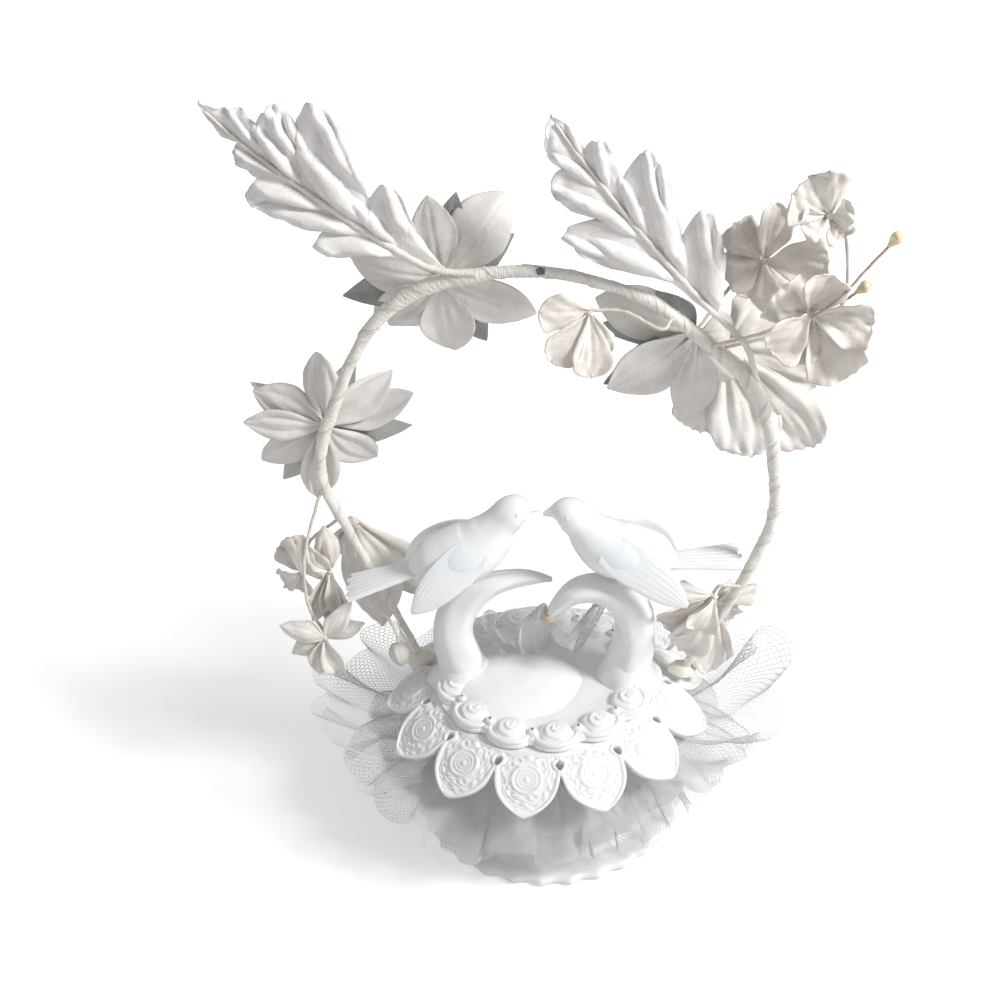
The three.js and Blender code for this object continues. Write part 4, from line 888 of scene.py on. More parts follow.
def mound():
    """A scalloped dish, a fillet under each scroll and the low hump behind the scrolls' feet."""
    part = turned(raised_by(mound_floor, dish_profile), 260, scalloped)
    pad = turned(raised_by(mound_floor, pad_profile), 64, draped, samples=60)
    part.join(*[pad.moved((*foot, 0)) for foot in scroll_feet])
    hump = turned(hump_profile, 120, billowed, samples=44)
    return part.join(hump.moved((*hump_place, mound_floor), np.diag([1.0, hump_depth_share, 1.0])))


make("mound_dish", mound(), moulded, "moulded_plastic", sharp=60)
print("mound on", round(mound_floor, 2))

# %% [markdown]
# ### Heart scrolls
# Each scroll is a horn: round where it stands, then hollowed on its inner side like a leaf
# as it curls over. A swept ring with a section that changes along the way gives that form.
# The tip of the right scroll was glued, and its hollow still holds the amber drop.

# %% Heart scrolls
scroll_routes = {
    "left": [(-0.92, 0.07, -0.06), (-0.95, 0.07, 0.06), (-1.01, 0.06, 0.3), (-0.99, 0.05, 0.55),
             (-0.86, 0.05, 0.78), (-0.6, 0.05, 0.95), (-0.3, 0.06, 1.01), (-0.05, 0.06, 1.0),
             (0.1, 0.07, 0.96)],
    "right": [(0.92, -0.05, -0.06), (0.95, -0.05, 0.06), (1.0, -0.07, 0.34), (0.98, -0.09, 0.6),
              (0.84, -0.12, 0.84), (0.6, -0.15, 0.98), (0.34, -0.16, 0.97), (0.14, -0.16, 0.82),
              (0, -0.15, 0.62)],
}
scroll_girths = {
    "left": [1.12, 1.05, 1, 0.95, 0.86, 0.74, 0.6, 0.42, 0.14],
    "right": [1.12, 1.05, 1, 0.96, 0.9, 0.82, 0.72, 0.52, 0.16],
}
scroll_stem, scroll_steps = 4.9, 110


def by_heart(place):
    """A place given as shares of the heart's half width, twice, and of its height."""
    x, y, z = place
    return np.array([x * heart_half, y * heart_half, scroll_floor + z * heart_height])


def scroll(side):
    inward = 0 if side == "left" else math.pi

    def hollowed(turn, share):
        facing = np.cos(turn - inward)
        depth = 0.62 * fade(share, 0.35, 0.4) ** 1.5
        channel = 1 - depth * np.clip(facing, 0, 1) ** 1.5
        lips = 0.1 * depth * np.exp(-((facing - 0.12) / 0.16) ** 2)
        groove = -0.08 * np.exp(-((facing + 0.55) / 0.12) ** 2) * np.clip(share * 3 - 0.6, 0, 1)
        folds = 0.035 * np.sin(turn * 5 + share * 9) + 0.03 * np.sin(turn * 2 + share * 17)
        return channel + lips + groove + folds

    path = curve_through([by_heart(place) for place in scroll_routes[side]], scroll_steps)
    girth = scroll_stem * read_table(scroll_girths[side], np.linspace(0, 1, scroll_steps))
    part = tube(path, girth, 44, section=hollowed)
    part.points[0][:, 2] = np.maximum(part.points[0][:, 2], scroll_floor)
    return part


for side in ("left", "right"):
    make(f"scroll_horn_{side}", scroll(side), moulded, "moulded_plastic", f"scroll_{side}")
print("scroll steps:", scroll_steps)

# %% Old glue in the right scroll
drop_radius, drop_squash = 2.0, 0.75
drop_place = by_heart((0.045, -0.165, 0.68))


def lumpy(latitude, turn):
    return 1 + 0.1 * np.sin(turn * 3 + latitude * 4)


make("scroll_glue_drop", ball(drop_radius, 22, drop_squash, lumpy).moved(drop_place), amber_glue, "glue")
print("glue drop at", np.round(drop_place, 1))

# %% [markdown]
# ## Two doves
# The doves are glossy castings: a smooth body, wings laid back like blades and a fan tail
# with fine ridges. The body is a loft of ellipses along a bent spine. Wings and tails are
# sheets whose wall swells in the middle and thins to the edge, as cast feathers do.

# %% Dove body
dove_girth, perch_height, meeting_gap = 6.9, 8.2, 0.7
perch = scroll_floor + heart_height + perch_height
dove_rings = [
    (-1.75, -0.52, 0.3, 0.22), (-1.5, -0.4, 0.55, 0.45), (-1.0, -0.16, 0.84, 0.8), (-0.3, 0, 1, 0.98),
    (0.4, 0.24, 0.96, 1), (0.95, 0.72, 0.74, 0.84), (1.35, 1.22, 0.56, 0.62), (1.72, 1.6, 0.56, 0.58),
    (2.05, 1.72, 0.46, 0.44), (2.32, 1.72, 0.2, 0.2), (2.62, 1.64, 0.06, 0.06),
]
eye_place, eye_radius = (1.86, 0.47, 1.76), 0.55
foot_profile = [(0, -8.2), (2.0, -8.2), (2.3, -7.8), (2.2, -6.2), (2.9, -3.4), (0, -3.4)]


def dove_body():
    """Rings of x, z, half width and half height, as shares of the girth, and two eyes."""
    x, z, half, tall = curve_through(dove_rings, 72).T[..., None]
    spine = grid(x, 0, z)
    rise = unit(np.gradient(spine[:, 0], axis=0))[:, None, [2, 1, 0]] * (-1, 0, 1)
    turn = turns(48)[None, :]
    rings = (spine + grid(0, half * np.cos(turn), 0) + rise * (tall * np.sin(turn))[..., None]) * dove_girth
    part = closed_rings(rings, rings[..., :2])
    for side in (-1, 1):
        part.join(ball(eye_radius, 14).moved(np.array(eye_place) * (1, side, 1) * dove_girth))
    return part


print("dove body length:", round((dove_rings[-1][0] - dove_rings[0][0]) * dove_girth, 1), "mm")

# %% Wings and tails
wing_length, wing_breadth, tail_length, tail_breadth = 24.0, 10.2, 20.0, 11.0
wing_lies = {"near left": (0.72, 0.13, 0.4), "near right": (0.8, 0.13, 0.4), "far": (0.8, 0.3, 0.34)}
wing_outline = [0.62, 0.9, 1, 1, 0.92, 0.68, 0.12]
tail_lies = {"left": (0.87, -0.3), "right": (0.86, 0.02)}
tail_outline = [0.6, 0.7, 0.84, 1]
feather_relief = 0.05
shoulder_place, rump_place = (0.72, 0.62, 0.62), (-1.42, 0, -0.42)


def blade(rows, columns, size, design, turned_over):
    """A cast blade; design(along, across) gives its points, its wall and its relief."""
    along = (1 - np.cos(np.linspace(0, math.pi, rows)))[:, None] / 2
    across = np.sin(np.linspace(-math.pi / 2, math.pi / 2, columns))[None, :]
    points, wall, relief = design(along, across)
    layers = points, wall, grid(along * size[0], across * size[1] / 2), relief
    return shell(*[layer[:, ::-1] if turned_over else layer for layer in layers])


def wing(side, lie):
    run, spreading, sinking = wing_lies[lie]
    x, y, z = np.array(shoulder_place) * (1, side, 1) * dove_girth

    def design(along, across):
        half = wing_breadth / 2 * read_table(wing_outline, along)
        back = wing_length * along
        spread = side * (spreading * back + 0.75 * np.sin(along * 3))
        sink = back * (sinking + 0.22 * along) + across * half * 0.84
        fold = side * 1.6 * across * (1 - along)
        quill = np.cos(across * 21 + along * 4) * np.clip(along * 2.5 - 0.7, 0, 1) * (1 - across ** 8)
        covert = np.cos(along * 30 - across ** 2 * 4) * np.clip(1.2 - along * 2.6, 0, 1) * (1 - across ** 6)
        wall = 0.35 + 1.35 * (1 - across ** 2) ** 0.6 * (1 - along ** 6) ** 0.5
        points = grid(x - back * run + across * half * 0.42, y + spread + fold, z - sink)
        return points, wall, feather_relief * (quill + covert)

    return blade(60, 37, (wing_length, wing_breadth), design, side > 0)


def tail(side):
    length_share, slope = tail_lies[side]
    x, y, z = np.array(rump_place) * dove_girth

    def design(along, across):
        half = tail_breadth / 2 * read_table(tail_outline, along)
        jagged = 0.5 * np.cos(across * 13) * np.clip(along * 6 - 5, 0, 1) - across ** 2 * 0.8 * along
        back = tail_length * length_share * along + jagged
        ridges = 0.17 * np.cos(across * 22) * np.clip(along * 3 - 0.2, 0, 1)
        wall = 0.6 + 0.9 * (1 - across ** 4) * (1 - along ** 8)
        return grid(x - back, y + across * half, z + back * slope), wall, ridges

    return blade(44, 61, (tail_length, tail_breadth), design, True)


print("wing lies:", list(wing_lies))

# %% Two doves, beak to beak
def dove(side):
    """The left dove looks along +X and the right one back at it, its beak a gap away."""
    towards = 1 if side == "left" else -1
    bird = dove_body().join(turned(foot_profile, 32), tail(side))
    for wing_side in (1, -1):
        bird.join(wing(wing_side, "far" if wing_side == towards else f"near {side}"))
    depth = 0.0 if side == "left" else -0.1 * heart_half
    beak = dove_rings[-1][0] * dove_girth
    origin = (-towards * (beak + meeting_gap / 2), depth, perch)
    return bird.moved(origin, np.diag([towards, towards, 1]))


for side in ("left", "right"):
    make(f"cast_dove_{side}", dove(side), bird_gloss, "dove_plastic", f"dove_{side}", sharp=50)
print("doves perch at", round(perch, 1))

# %% [markdown]
# ## Gathered net
# Net is mostly holes, so a see-through sheet would look like fog. Here the threads are real:
# a honeycomb is laid out flat, in millimetres, and each of its corners is carried onto the
# folded surface, as a cut width of net is when it is gathered. Each thread is a slim
# three-sided rod, so that tens of thousands of cells stay affordable.

# %% Honeycomb threads on a surface
def cell_links(even, last_panel):
    """Pairs of corners: every row's zigzag, and the upright threads between two rows."""
    index = np.arange(even.size).reshape(even.shape)
    rows = np.stack([index[:, :-1].ravel(), index[:, 1:].ravel()], 1)
    upright = ~even[:-1]
    upright[:, -1] &= last_panel
    return np.concatenate([rows, np.stack([index[:-1][upright], index[1:][upright]], 1)])


def rods(start, end, facings, thread):
    """Three-sided rods between two rows of places, with the surface's facing at each."""
    run = unit(end - start)
    corners = []
    for place, facing in zip((start, end), facings):
        sideways = unit(np.cross(run, facing))
        upward = np.cross(sideways, run)
        for turn in turns(3):
            corners.append(place + thread * (upward * math.cos(turn) + sideways * math.sin(turn)))
    count = len(run)
    base = np.arange(count)
    faces = [np.stack([base + count * corner for corner in (a, b, b + 3, a + 3)], 1)
             for a, b in ((0, 1), (1, 2), (2, 0))]
    return Part().add(np.concatenate(corners), np.concatenate(faces))


def honeycomb(surface, width, depth, pitch, thread, panel=(0, 1)):
    """surface(share across the width, share down the depth) gives a point for each corner."""
    side = pitch / math.sqrt(3)
    columns, rows = int(width / (pitch / 2)) // 2 * 2, int(depth / (1.5 * side))
    first, last = (int(share * columns) // 2 * 2 for share in panel)
    column, row = np.meshgrid(np.arange(first, last + 1), np.arange(rows + 1))
    even = (column + row) % 2 == 0
    zigzag = np.where(even, -0.25, 0.25) * side
    along, down = column / columns, np.clip((row * 1.5 * side + zigzag) / (rows * 1.5 * side), 0, 1)
    step = 0.002
    facing = unit(np.cross(
        surface(along + step, down) - surface(along - step, down),
        surface(along, np.clip(down + step, 0, 1)) - surface(along, np.clip(down - step, 0, 1))))
    one, two = cell_links(even, panel[1] == 1).T
    points, facing = surface(along, down).reshape(-1, 3), facing.reshape(-1, 3)
    return rods(points[one], points[two], (facing[one], facing[two]), thread)


def thread_count(part):
    return len(np.concatenate(part.quads)) // 3


print("honeycomb ready")

# %% Folds of the ruffle
ruffle_reach, ruffle_rise, ruffle_dip = 61.0, 45.0, 8.0
loop_count, loop_depth, gather_depth, neck_gap = 13, 4.8, 0.45, 0.6
ruffle_tiers = {
    "upper": {
        "drop": 3.5, "depth": 1.0, "dip": 1.0, "phase": 0.4, "width": 520, "pitch": 1.02, "panels": 3,
        "edge": [(-90, 0.62, 0.31), (-56, 0.61, 0.4), (-38, 0.69, 0.49), (-16, 0.9, 0.56), (0, 1, 0.84),
                 (12, 0.89, 0.9), (35, 0.82, 0.72), (60, 0.74, 0.57), (90, 0.7, 0.49), (120, 0.74, 0.55),
                 (150, 0.87, 0.68), (168, 0.97, 0.7), (188, 0.94, 0.8), (215, 0.82, 0.56), (233, 0.79, 0.42),
                 (245, 0.69, 0.33), (270, 0.62, 0.31)],
    },
    "lower": {
        "drop": 9.3, "depth": 0.6, "dip": 0.2, "phase": 2.1, "width": 420, "pitch": 1.08, "panels": 2,
        "edge": [(-90, 0.56, 0.18), (-60, 0.59, 0.2), (-22, 0.67, 0.18), (0, 0.9, 0.24), (25, 0.77, 0.34),
                 (60, 0.66, 0.27), (90, 0.62, 0.22), (130, 0.69, 0.29), (165, 0.82, 0.34), (180, 0.87, 0.31),
                 (199, 0.77, 0.34), (225, 0.66, 0.27), (250, 0.59, 0.2), (270, 0.56, 0.18)],
    },
}


def drum_radius_at(level):
    share = (level - drum_floor) / (drum_top - drum_floor)
    return np.interp(share, [0.55, 0.88], [drum_foot * 0.96, drum_shoulder])


def ruffle_surface(tier):
    """The net leaves a gathered neck, dips under the leaves and opens into loops."""
    places, reaches, levels = np.array(tier["edge"]).T
    neck_level = skirt_top - leaf_wall - tier["drop"]
    neck = drum_radius_at(neck_level) + neck_gap + gather_depth
    phase = tier["phase"]

    def surface(around, out):
        degrees = places[0] + (around % 1.0) * 360
        turn = np.radians(degrees)
        reach, level = np.interp(degrees, places, reaches), np.interp(degrees, places, levels)
        reach, level = reach * ruffle_reach, level * ruffle_rise
        beat = loop_count * turn + 1.4 * np.sin(2 * turn + phase) + phase
        side = np.abs(np.cos(turn)) ** 1.4
        vigour = (0.75 + 0.3 * np.sin(3 * turn + 2 * phase)) * (0.5 + 0.5 * side)
        growth = vigour * out ** 1.7
        crease = np.sin(26 * turn + 2.4 * np.sin(5 * turn + phase)) + 0.5 * np.sin(57 * turn + 3 * out)
        crumple = np.sin(41 * turn + out * 7) * np.sin(17 * turn - out * 11)
        fine = (0.55 * crease + 0.45 * crumple) * out ** 0.9
        gather = gather_depth * np.sin(loop_count * 4 * turn) * (1 - out) ** 2
        lobe = 1 - 0.12 * out * np.cos(beat) ** 2
        radius = neck + gather + (reach - neck) * out * lobe + 0.3 * fine
        dip = ruffle_dip * tier["dip"] * (0.7 + 0.3 * side) * np.sin(math.pi * out ** 0.8)
        swing = loop_depth * tier["depth"] * growth * np.sin(beat)
        height = neck_level + (level - neck_level) * out ** 2.1 - dip + swing + fine * tier["depth"]
        folded = turn - 0.075 * growth * np.sin(2 * beat) + 0.01 * crumple * out
        return grid(radius * np.cos(folded), radius * np.sin(folded), height)

    return surface


print("ruffle tiers:", list(ruffle_tiers))

# %% Ruffles in panels
ruffle_depth, ruffle_thread = 36.0, 0.092
for name, tier in ruffle_tiers.items():
    panels, width = tier["panels"], tier["width"]
    for panel in range(panels):
        shares = panel / panels, (panel + 1) / panels
        threads = honeycomb(ruffle_surface(tier), width, ruffle_depth, tier["pitch"], ruffle_thread, shares)
        nodes = [f"net_ruffle_{name}"] if panel == 0 else []
        ruffle = make(f"ruffle_threads_{name}_{panel + 1}", threads, net, "net", *nodes)
        print(name, "panel", panel + 1, "threads:", thread_count(threads))

# %% Net puff between the scrolls
puff_width, puff_height, puff_fold, puff_flat = 31.0, 16.5, 4.6, (86.0, 18.0)
puff_pitch, puff_thread = 1.02, 0.09
puff_floor = mound_floor + 4.55


def puff_surface(around, out):
    """A curtain gathered at its foot: it rises in wide folds and falls a little forwards."""
    across = around * 2 - 1
    open_out = 0.62 + 0.38 * np.sin(out * 2.6)
    crease = np.sin(across * 31 + 3 * np.sin(across * 7)) + 0.5 * np.sin(across * 53 + out * 4)
    x = across * puff_width / 2 * open_out + 1.5 * np.sin(across * 14 + 1 + out * 2) * out
    fold = np.sin(across * 7.2 + out * 2) * (0.35 + 0.65 * out)
    y = heart_half * 0.23 - 6.5 * out ** 1.4 + puff_fold * fold + 0.45 * crease * (1 - 0.5 * out)
    crest = puff_height * (0.74 + 0.2 * np.cos(across * 6.2 + 0.6)) * np.sin(out * 1.9)
    return grid(x, y, puff_floor + crest + 0.35 * crease * out)


threads = honeycomb(puff_surface, *puff_flat, puff_pitch, puff_thread)
puff = make("puff_threads", threads, net, "net", "net_puff")
print("puff threads:", thread_count(threads))

# %% [markdown]
# ## Wire arch, paper tape and glue
# Florist's tape is wound round the wire in a spiral. Each turn overlaps the last, so the
# surface is a slow screw of raised edges, thicker where stems are bound in. The feet of the
# arch stand bare in dried glue.

# %% Arch route
arch_half, arch_rise, arch_floor = 51.0, 106.0, skirt_top
arch_route = [
    (-0.6, 0.2, 0.002), (-0.66, 0.185, 0.09), (-0.755, 0.165, 0.22), (-0.89, 0.15, 0.4),
    (-0.97, 0.14, 0.52), (-0.95, 0.135, 0.62), (-0.87, 0.125, 0.715), (-0.785, 0.115, 0.81),
    (-0.655, 0.1, 0.905), (-0.47, 0.08, 0.97), (-0.255, 0.055, 1.0), (0.02, 0.025, 1.008),
    (0.255, 0, 0.985), (0.47, -0.025, 0.945), (0.665, -0.045, 0.87), (0.845, -0.065, 0.79),
    (0.94, -0.08, 0.715), (1.0, -0.085, 0.61), (1.02, -0.085, 0.45), (0.92, -0.075, 0.3),
    (0.785, -0.045, 0.15), (0.7, -0.015, 0.06), (0.655, 0.01, -0.005),
]
arch_samples = 1400


def by_arch(place):
    """A place given as shares of the arch's half width, twice, and of its rise."""
    x, y, z = place
    return np.array([x * arch_half, y * arch_half, arch_floor + z * arch_rise])


arch_path = curve_through([by_arch(place) for place in arch_route], arch_samples)
arch_length = run_of(arch_path)[-1]
print("arch length:", round(arch_length, 1), "mm")

# %% Wire, tape and glue
tape_radius, wire_radius, bare_foot = 1.65, 0.7, 2.2
tape_shares = [
    0.5, 0.55, 0.62, 0.7, 0.8, 0.85, 0.8, 0.8, 1.0, 1.1, 0.85, 0.74, 0.76, 0.88, 1.02, 1.06, 1.0, 0.92,
    0.85, 0.76, 0.66, 0.58,
]
tape_drift, drift_waves = 1.2, 31
spill_profile = [(0, 0), (2.9, 0), (3.1, 0.3), (2.9, 0.9), (2.2, 1.7), (1.8, 2.3), (0, 2.4)]
spill_rise = 0.3


def wound(turn, share):
    """Each lap's raised edge, fine creases and slow lumps, as a share of the girth."""
    run = share * arch_length + tape_drift * np.sin(share * drift_waves)
    phase = (run / tape_winding - turn / TURN) % 1.0
    lap = 0.15 * np.exp(-phase / 0.2) - 0.05 * np.exp(-((phase - 0.95) / 0.04) ** 2)
    crease = 0.022 * np.sin(phase * 40 + turn * 3) + 0.03 * np.sin(run * 0.9 + turn * 2)
    lump = 0.07 * np.sin(run * 0.37 + np.cos(turn) * 1.3) * np.sin(run * 0.11)
    return 1 + lap + crease + lump


def wound_tape():
    """The tape leaves the wire's feet bare; its cloth coordinate follows the laps."""
    bare = int(arch_samples * bare_foot / arch_length)
    path = arch_path[bare:-bare]
    girth = 0.96 * tape_radius * np.interp(
        np.linspace(0, 1, len(path)), np.linspace(0, 1, len(tape_shares)), tape_shares)
    tape = tube(path, girth, 36, section=wound, start=-math.pi / 2)
    around, run = tape.uvs[0].T
    drift = tape_drift * np.sin(run / arch_length * drift_waves)
    tape.uvs[0][:, 0] = run + drift - around / cloth_girth * tape_winding
    return tape


def glue_drop(foot, seed):
    """A spill with an uneven edge round a foot of the arch."""
    first, second = np.random.default_rng(seed).uniform(0, TURN, 2)

    def spilt(radius, level, turn):
        return radius * (1 + 0.12 * np.sin(turn * 2 + first) + 0.07 * np.sin(turn * 3 + second)), level

    return turned(spill_profile, 48, spilt).moved((foot[0], foot[1], skirt_top + spill_rise))


make("tape_wound", wound_tape(), tape_paper, "paper_tape", "arch_tape")
make("wire_core", tube(arch_path[::12], wire_radius, 14), wire, "wire", "arch_wire")
for side, foot, seed in (("left", arch_path[0], 3), ("right", arch_path[-1], 8)):
    make(f"foot_glue_{side}", glue_drop(foot, seed), pale_glue, "glue", f"glue_{side}")
print("tape turns:", round(arch_length / tape_winding))


# %% [markdown]
# ## Satin flowers
# Each petal is die-cut from stiffened satin and pressed hot, so it keeps long creases from
# its root, a cupped section and a slightly rolled edge. One function makes a petal as a
# bent strip of rows; a head is a whorl of them, each with its own small faults from a
# seeded draw, so that no two petals match.

# %% Outline, bend and ridges of a petal
outlines = {
    "pointed": (0.22, 0.52, 1.9, 0.9), "round": (0.13, 0.68, 2.4, 0.75), "slim": (0.24, 0.45, 1.6, 0.95),
    "forked": (0.1, 0.74, 2.6, 0.7),
}
spine_steps = 160


def bent_spine(along, length, lift, curl):
    """Distance out and up of a strip that leaves at its lift and bends by its curl."""
    fine = np.linspace(0, 1, spine_steps)
    angle, stride = np.radians(lift + curl * fine[1:]), length / (spine_steps - 1)
    out, up = (np.concatenate([[0], np.cumsum(steps) * stride]) for steps in (np.cos(angle), np.sin(angle)))
    return np.interp(along, fine, out), np.interp(along, fine, up)


def petal_width(outline, along):
    """Share of the full width: a claw that swells to the widest place, then a rounded end."""
    claw, widest, fullness, bluntness = outlines[outline]
    swell, tail = fade(along, 0, widest), fade(along, widest, 1 - widest)
    swelling = claw + (1 - claw) * np.sin(swell * math.pi / 2) ** 1.35
    return np.where(along < widest, swelling, (1.0015 - tail ** fullness) ** bluntness)


def pressed_ridges(kind, along, across, draw):
    """Long ridges that the hot tool leaves: they fan out from the root and fade at the tip."""
    fan = across * kind["creases"] * (1 - 0.12 * along) + draw.uniform(-0.25, 0.25)
    wave = 0.5 + 0.5 * np.cos(TURN * fan / 2)
    ridge = kind["pleats"] * (wave ** 0.7 - 0.5)
    return ridge * np.clip(along * 5, 0, 1) * np.clip((1 - along) * 2.6, 0, 1) ** 0.7


print("petal outlines:", list(outlines))

# %% One petal
satin_wall = 0.32
petal_rows, petal_columns = 40, 27
lift_fault, curl_fault, twist_fault, lean_fault = 9, 14, 16, 0.09
ripple_waves = 9


def petal_relief(kind, along, across, half, draw):
    """Height over the spine: cup, ridges, sunk vein, ripples, rolled edge, belly and crumples."""
    side = across * half
    cup = kind["cup"] * draw.uniform(0.7, 2.2) * draw.choice([-0.8, 1, 1])
    ridges = pressed_ridges(kind, along, across, draw)
    vein = -0.5 * np.exp(-(side / 0.55) ** 2) * (1 - along) ** 0.5
    edge_roll = -kind["roll"] * np.clip(np.abs(across) - 0.72, 0, 1) ** 2 * 10 * np.clip(along * 1.6, 0, 1)
    ripple = kind["ripple"] * np.abs(across) ** 2.5 * along ** 0.7
    ripple = ripple * np.sin(along * ripple_waves + across * 2.2 + draw.uniform(0, 6)) * half
    crumple = kind["crumple"] * np.sin(side * 1.3 + along * 6 + draw.uniform(0, 6))
    crumple = crumple * np.sin(along * 8 + side + 1)
    belly = kind["belly"] * np.sin(math.pi * along) * (1 - across ** 2)
    return cup * across ** 2 * half + ridges + vein + ripple + edge_roll + belly + crumple * along


def petal(kind, reach, wide, draw):
    """Root at the origin, running along +X, its face towards +Z; and the flat cloth it takes."""
    length, breadth = kind["length"] * reach, kind["breadth"] * wide
    along = np.sin(np.linspace(0, 1, petal_rows) * math.pi / 2)[:, None] ** 1.15
    across = np.linspace(-1, 1, petal_columns)[None, :]
    half = breadth / 2 * petal_width(kind["outline"], along)
    half = half * (1 + kind["scallop"] * np.sin(along * 19 + draw.uniform(0, 6) + across * 2) * along)
    lift = kind["lift"] + draw.uniform(-lift_fault, lift_fault)
    curl = kind["curl"] + draw.uniform(-curl_fault, curl_fault)
    out, up = bent_spine(along, length, lift, curl)
    side, raised = across * half, petal_relief(kind, along, across, half, draw)
    notch = -kind["notch"] * np.exp(-((across - draw.uniform(-0.2, 0.2)) / 0.3) ** 2) * along ** 8 * length
    teeth = -kind["teeth"] * np.abs(np.sin(side * 1.5 + draw.uniform(0, 3))) * along ** 6
    twist = math.radians(draw.uniform(-twist_fault, twist_fault)) * along
    y = side * np.cos(twist) - raised * np.sin(twist)
    z = up + side * np.sin(twist) + raised * np.cos(twist)
    lean = draw.uniform(-lean_fault, lean_fault) * length * along ** 2
    sheet, uv = grid(out + notch + teeth, y + lean, z), grid(along * length, side)
    area = np.trapz(2 * half[:, 0], along[:, 0] * length)
    return shell(sheet[:, ::-1], satin_wall, uv[:, ::-1]), area


print("rows of a petal:", petal_rows)

# %% Kinds of petal
base_kind = {"length": 21.0, "breadth": 12.5, "heart": 2.6, "deep": 1.9, "lift": -6, "curl": -16, "cup": 0.2,
             "outline": "pointed", "pleats": 0.75, "creases": 1.7, "ripple": 0.06, "crumple": 0.14,
             "notch": 0.0, "scallop": 0.0, "roll": 0.35, "belly": 0.9, "teeth": 0.0}
blossom_kind = {**base_kind, "length": 12.5, "breadth": 10.0, "heart": 1.2, "deep": 1.3, "lift": 10,
                "curl": 14, "outline": "round", "pleats": 0.6, "creases": 2.4, "ripple": 0.34,
                "crumple": 0.4, "notch": 0.04, "scallop": 0.06, "belly": 0.8, "teeth": 0.3, "cup": 0.36}
kinds = {
    "lily": base_kind,
    "ridged": {**base_kind, "pleats": 0.9, "creases": 2.6, "crumple": 0.2, "scallop": 0.02, "ripple": 0.08},
    "sheer": {**base_kind, "lift": -4, "curl": -14, "cup": 0.1, "outline": "slim", "pleats": 0.12,
              "roll": 0.1, "belly": 0.2},
    "broad": {**base_kind, "lift": 4, "curl": -10, "outline": "round", "pleats": 1.1, "creases": 3.2,
              "ripple": 0.2, "crumple": 0.5, "scallop": 0.07, "teeth": 0.8},
    "blossom": blossom_kind,
    "smooth": {**blossom_kind, "pleats": 0.25, "crumple": 0.2, "ripple": 0.16, "breadth": 9.4, "teeth": 0.0},
    "drooping": {**blossom_kind, "lift": -6, "curl": -16, "outline": "forked", "notch": 0.3, "breadth": 9.0,
                 "pleats": 0.35, "crumple": 0.2, "belly": 0.5, "heart": 0.9},
    "star": {**blossom_kind, "outline": "slim", "notch": 0.0, "lift": 8, "curl": -18,
             "breadth": 7.2, "length": 13.0, "teeth": 0.0, "pleats": 0.4, "crumple": 0.2},
    "bell": {**blossom_kind, "lift": 8, "curl": -14, "outline": "slim", "breadth": 7.5, "cup": 0.5,
             "pleats": 0.45},
    "leaves": {**base_kind, "lift": -14, "curl": -2, "pleats": 0.9, "creases": 2.2, "crumple": 0.35},
    "trumpet": {**blossom_kind, "lift": 4, "curl": -6, "pleats": 0.6, "teeth": 0.7},
    "open": {**blossom_kind, "lift": -4, "curl": -8, "teeth": 0.6},
}
print("petal kinds:", len(kinds))

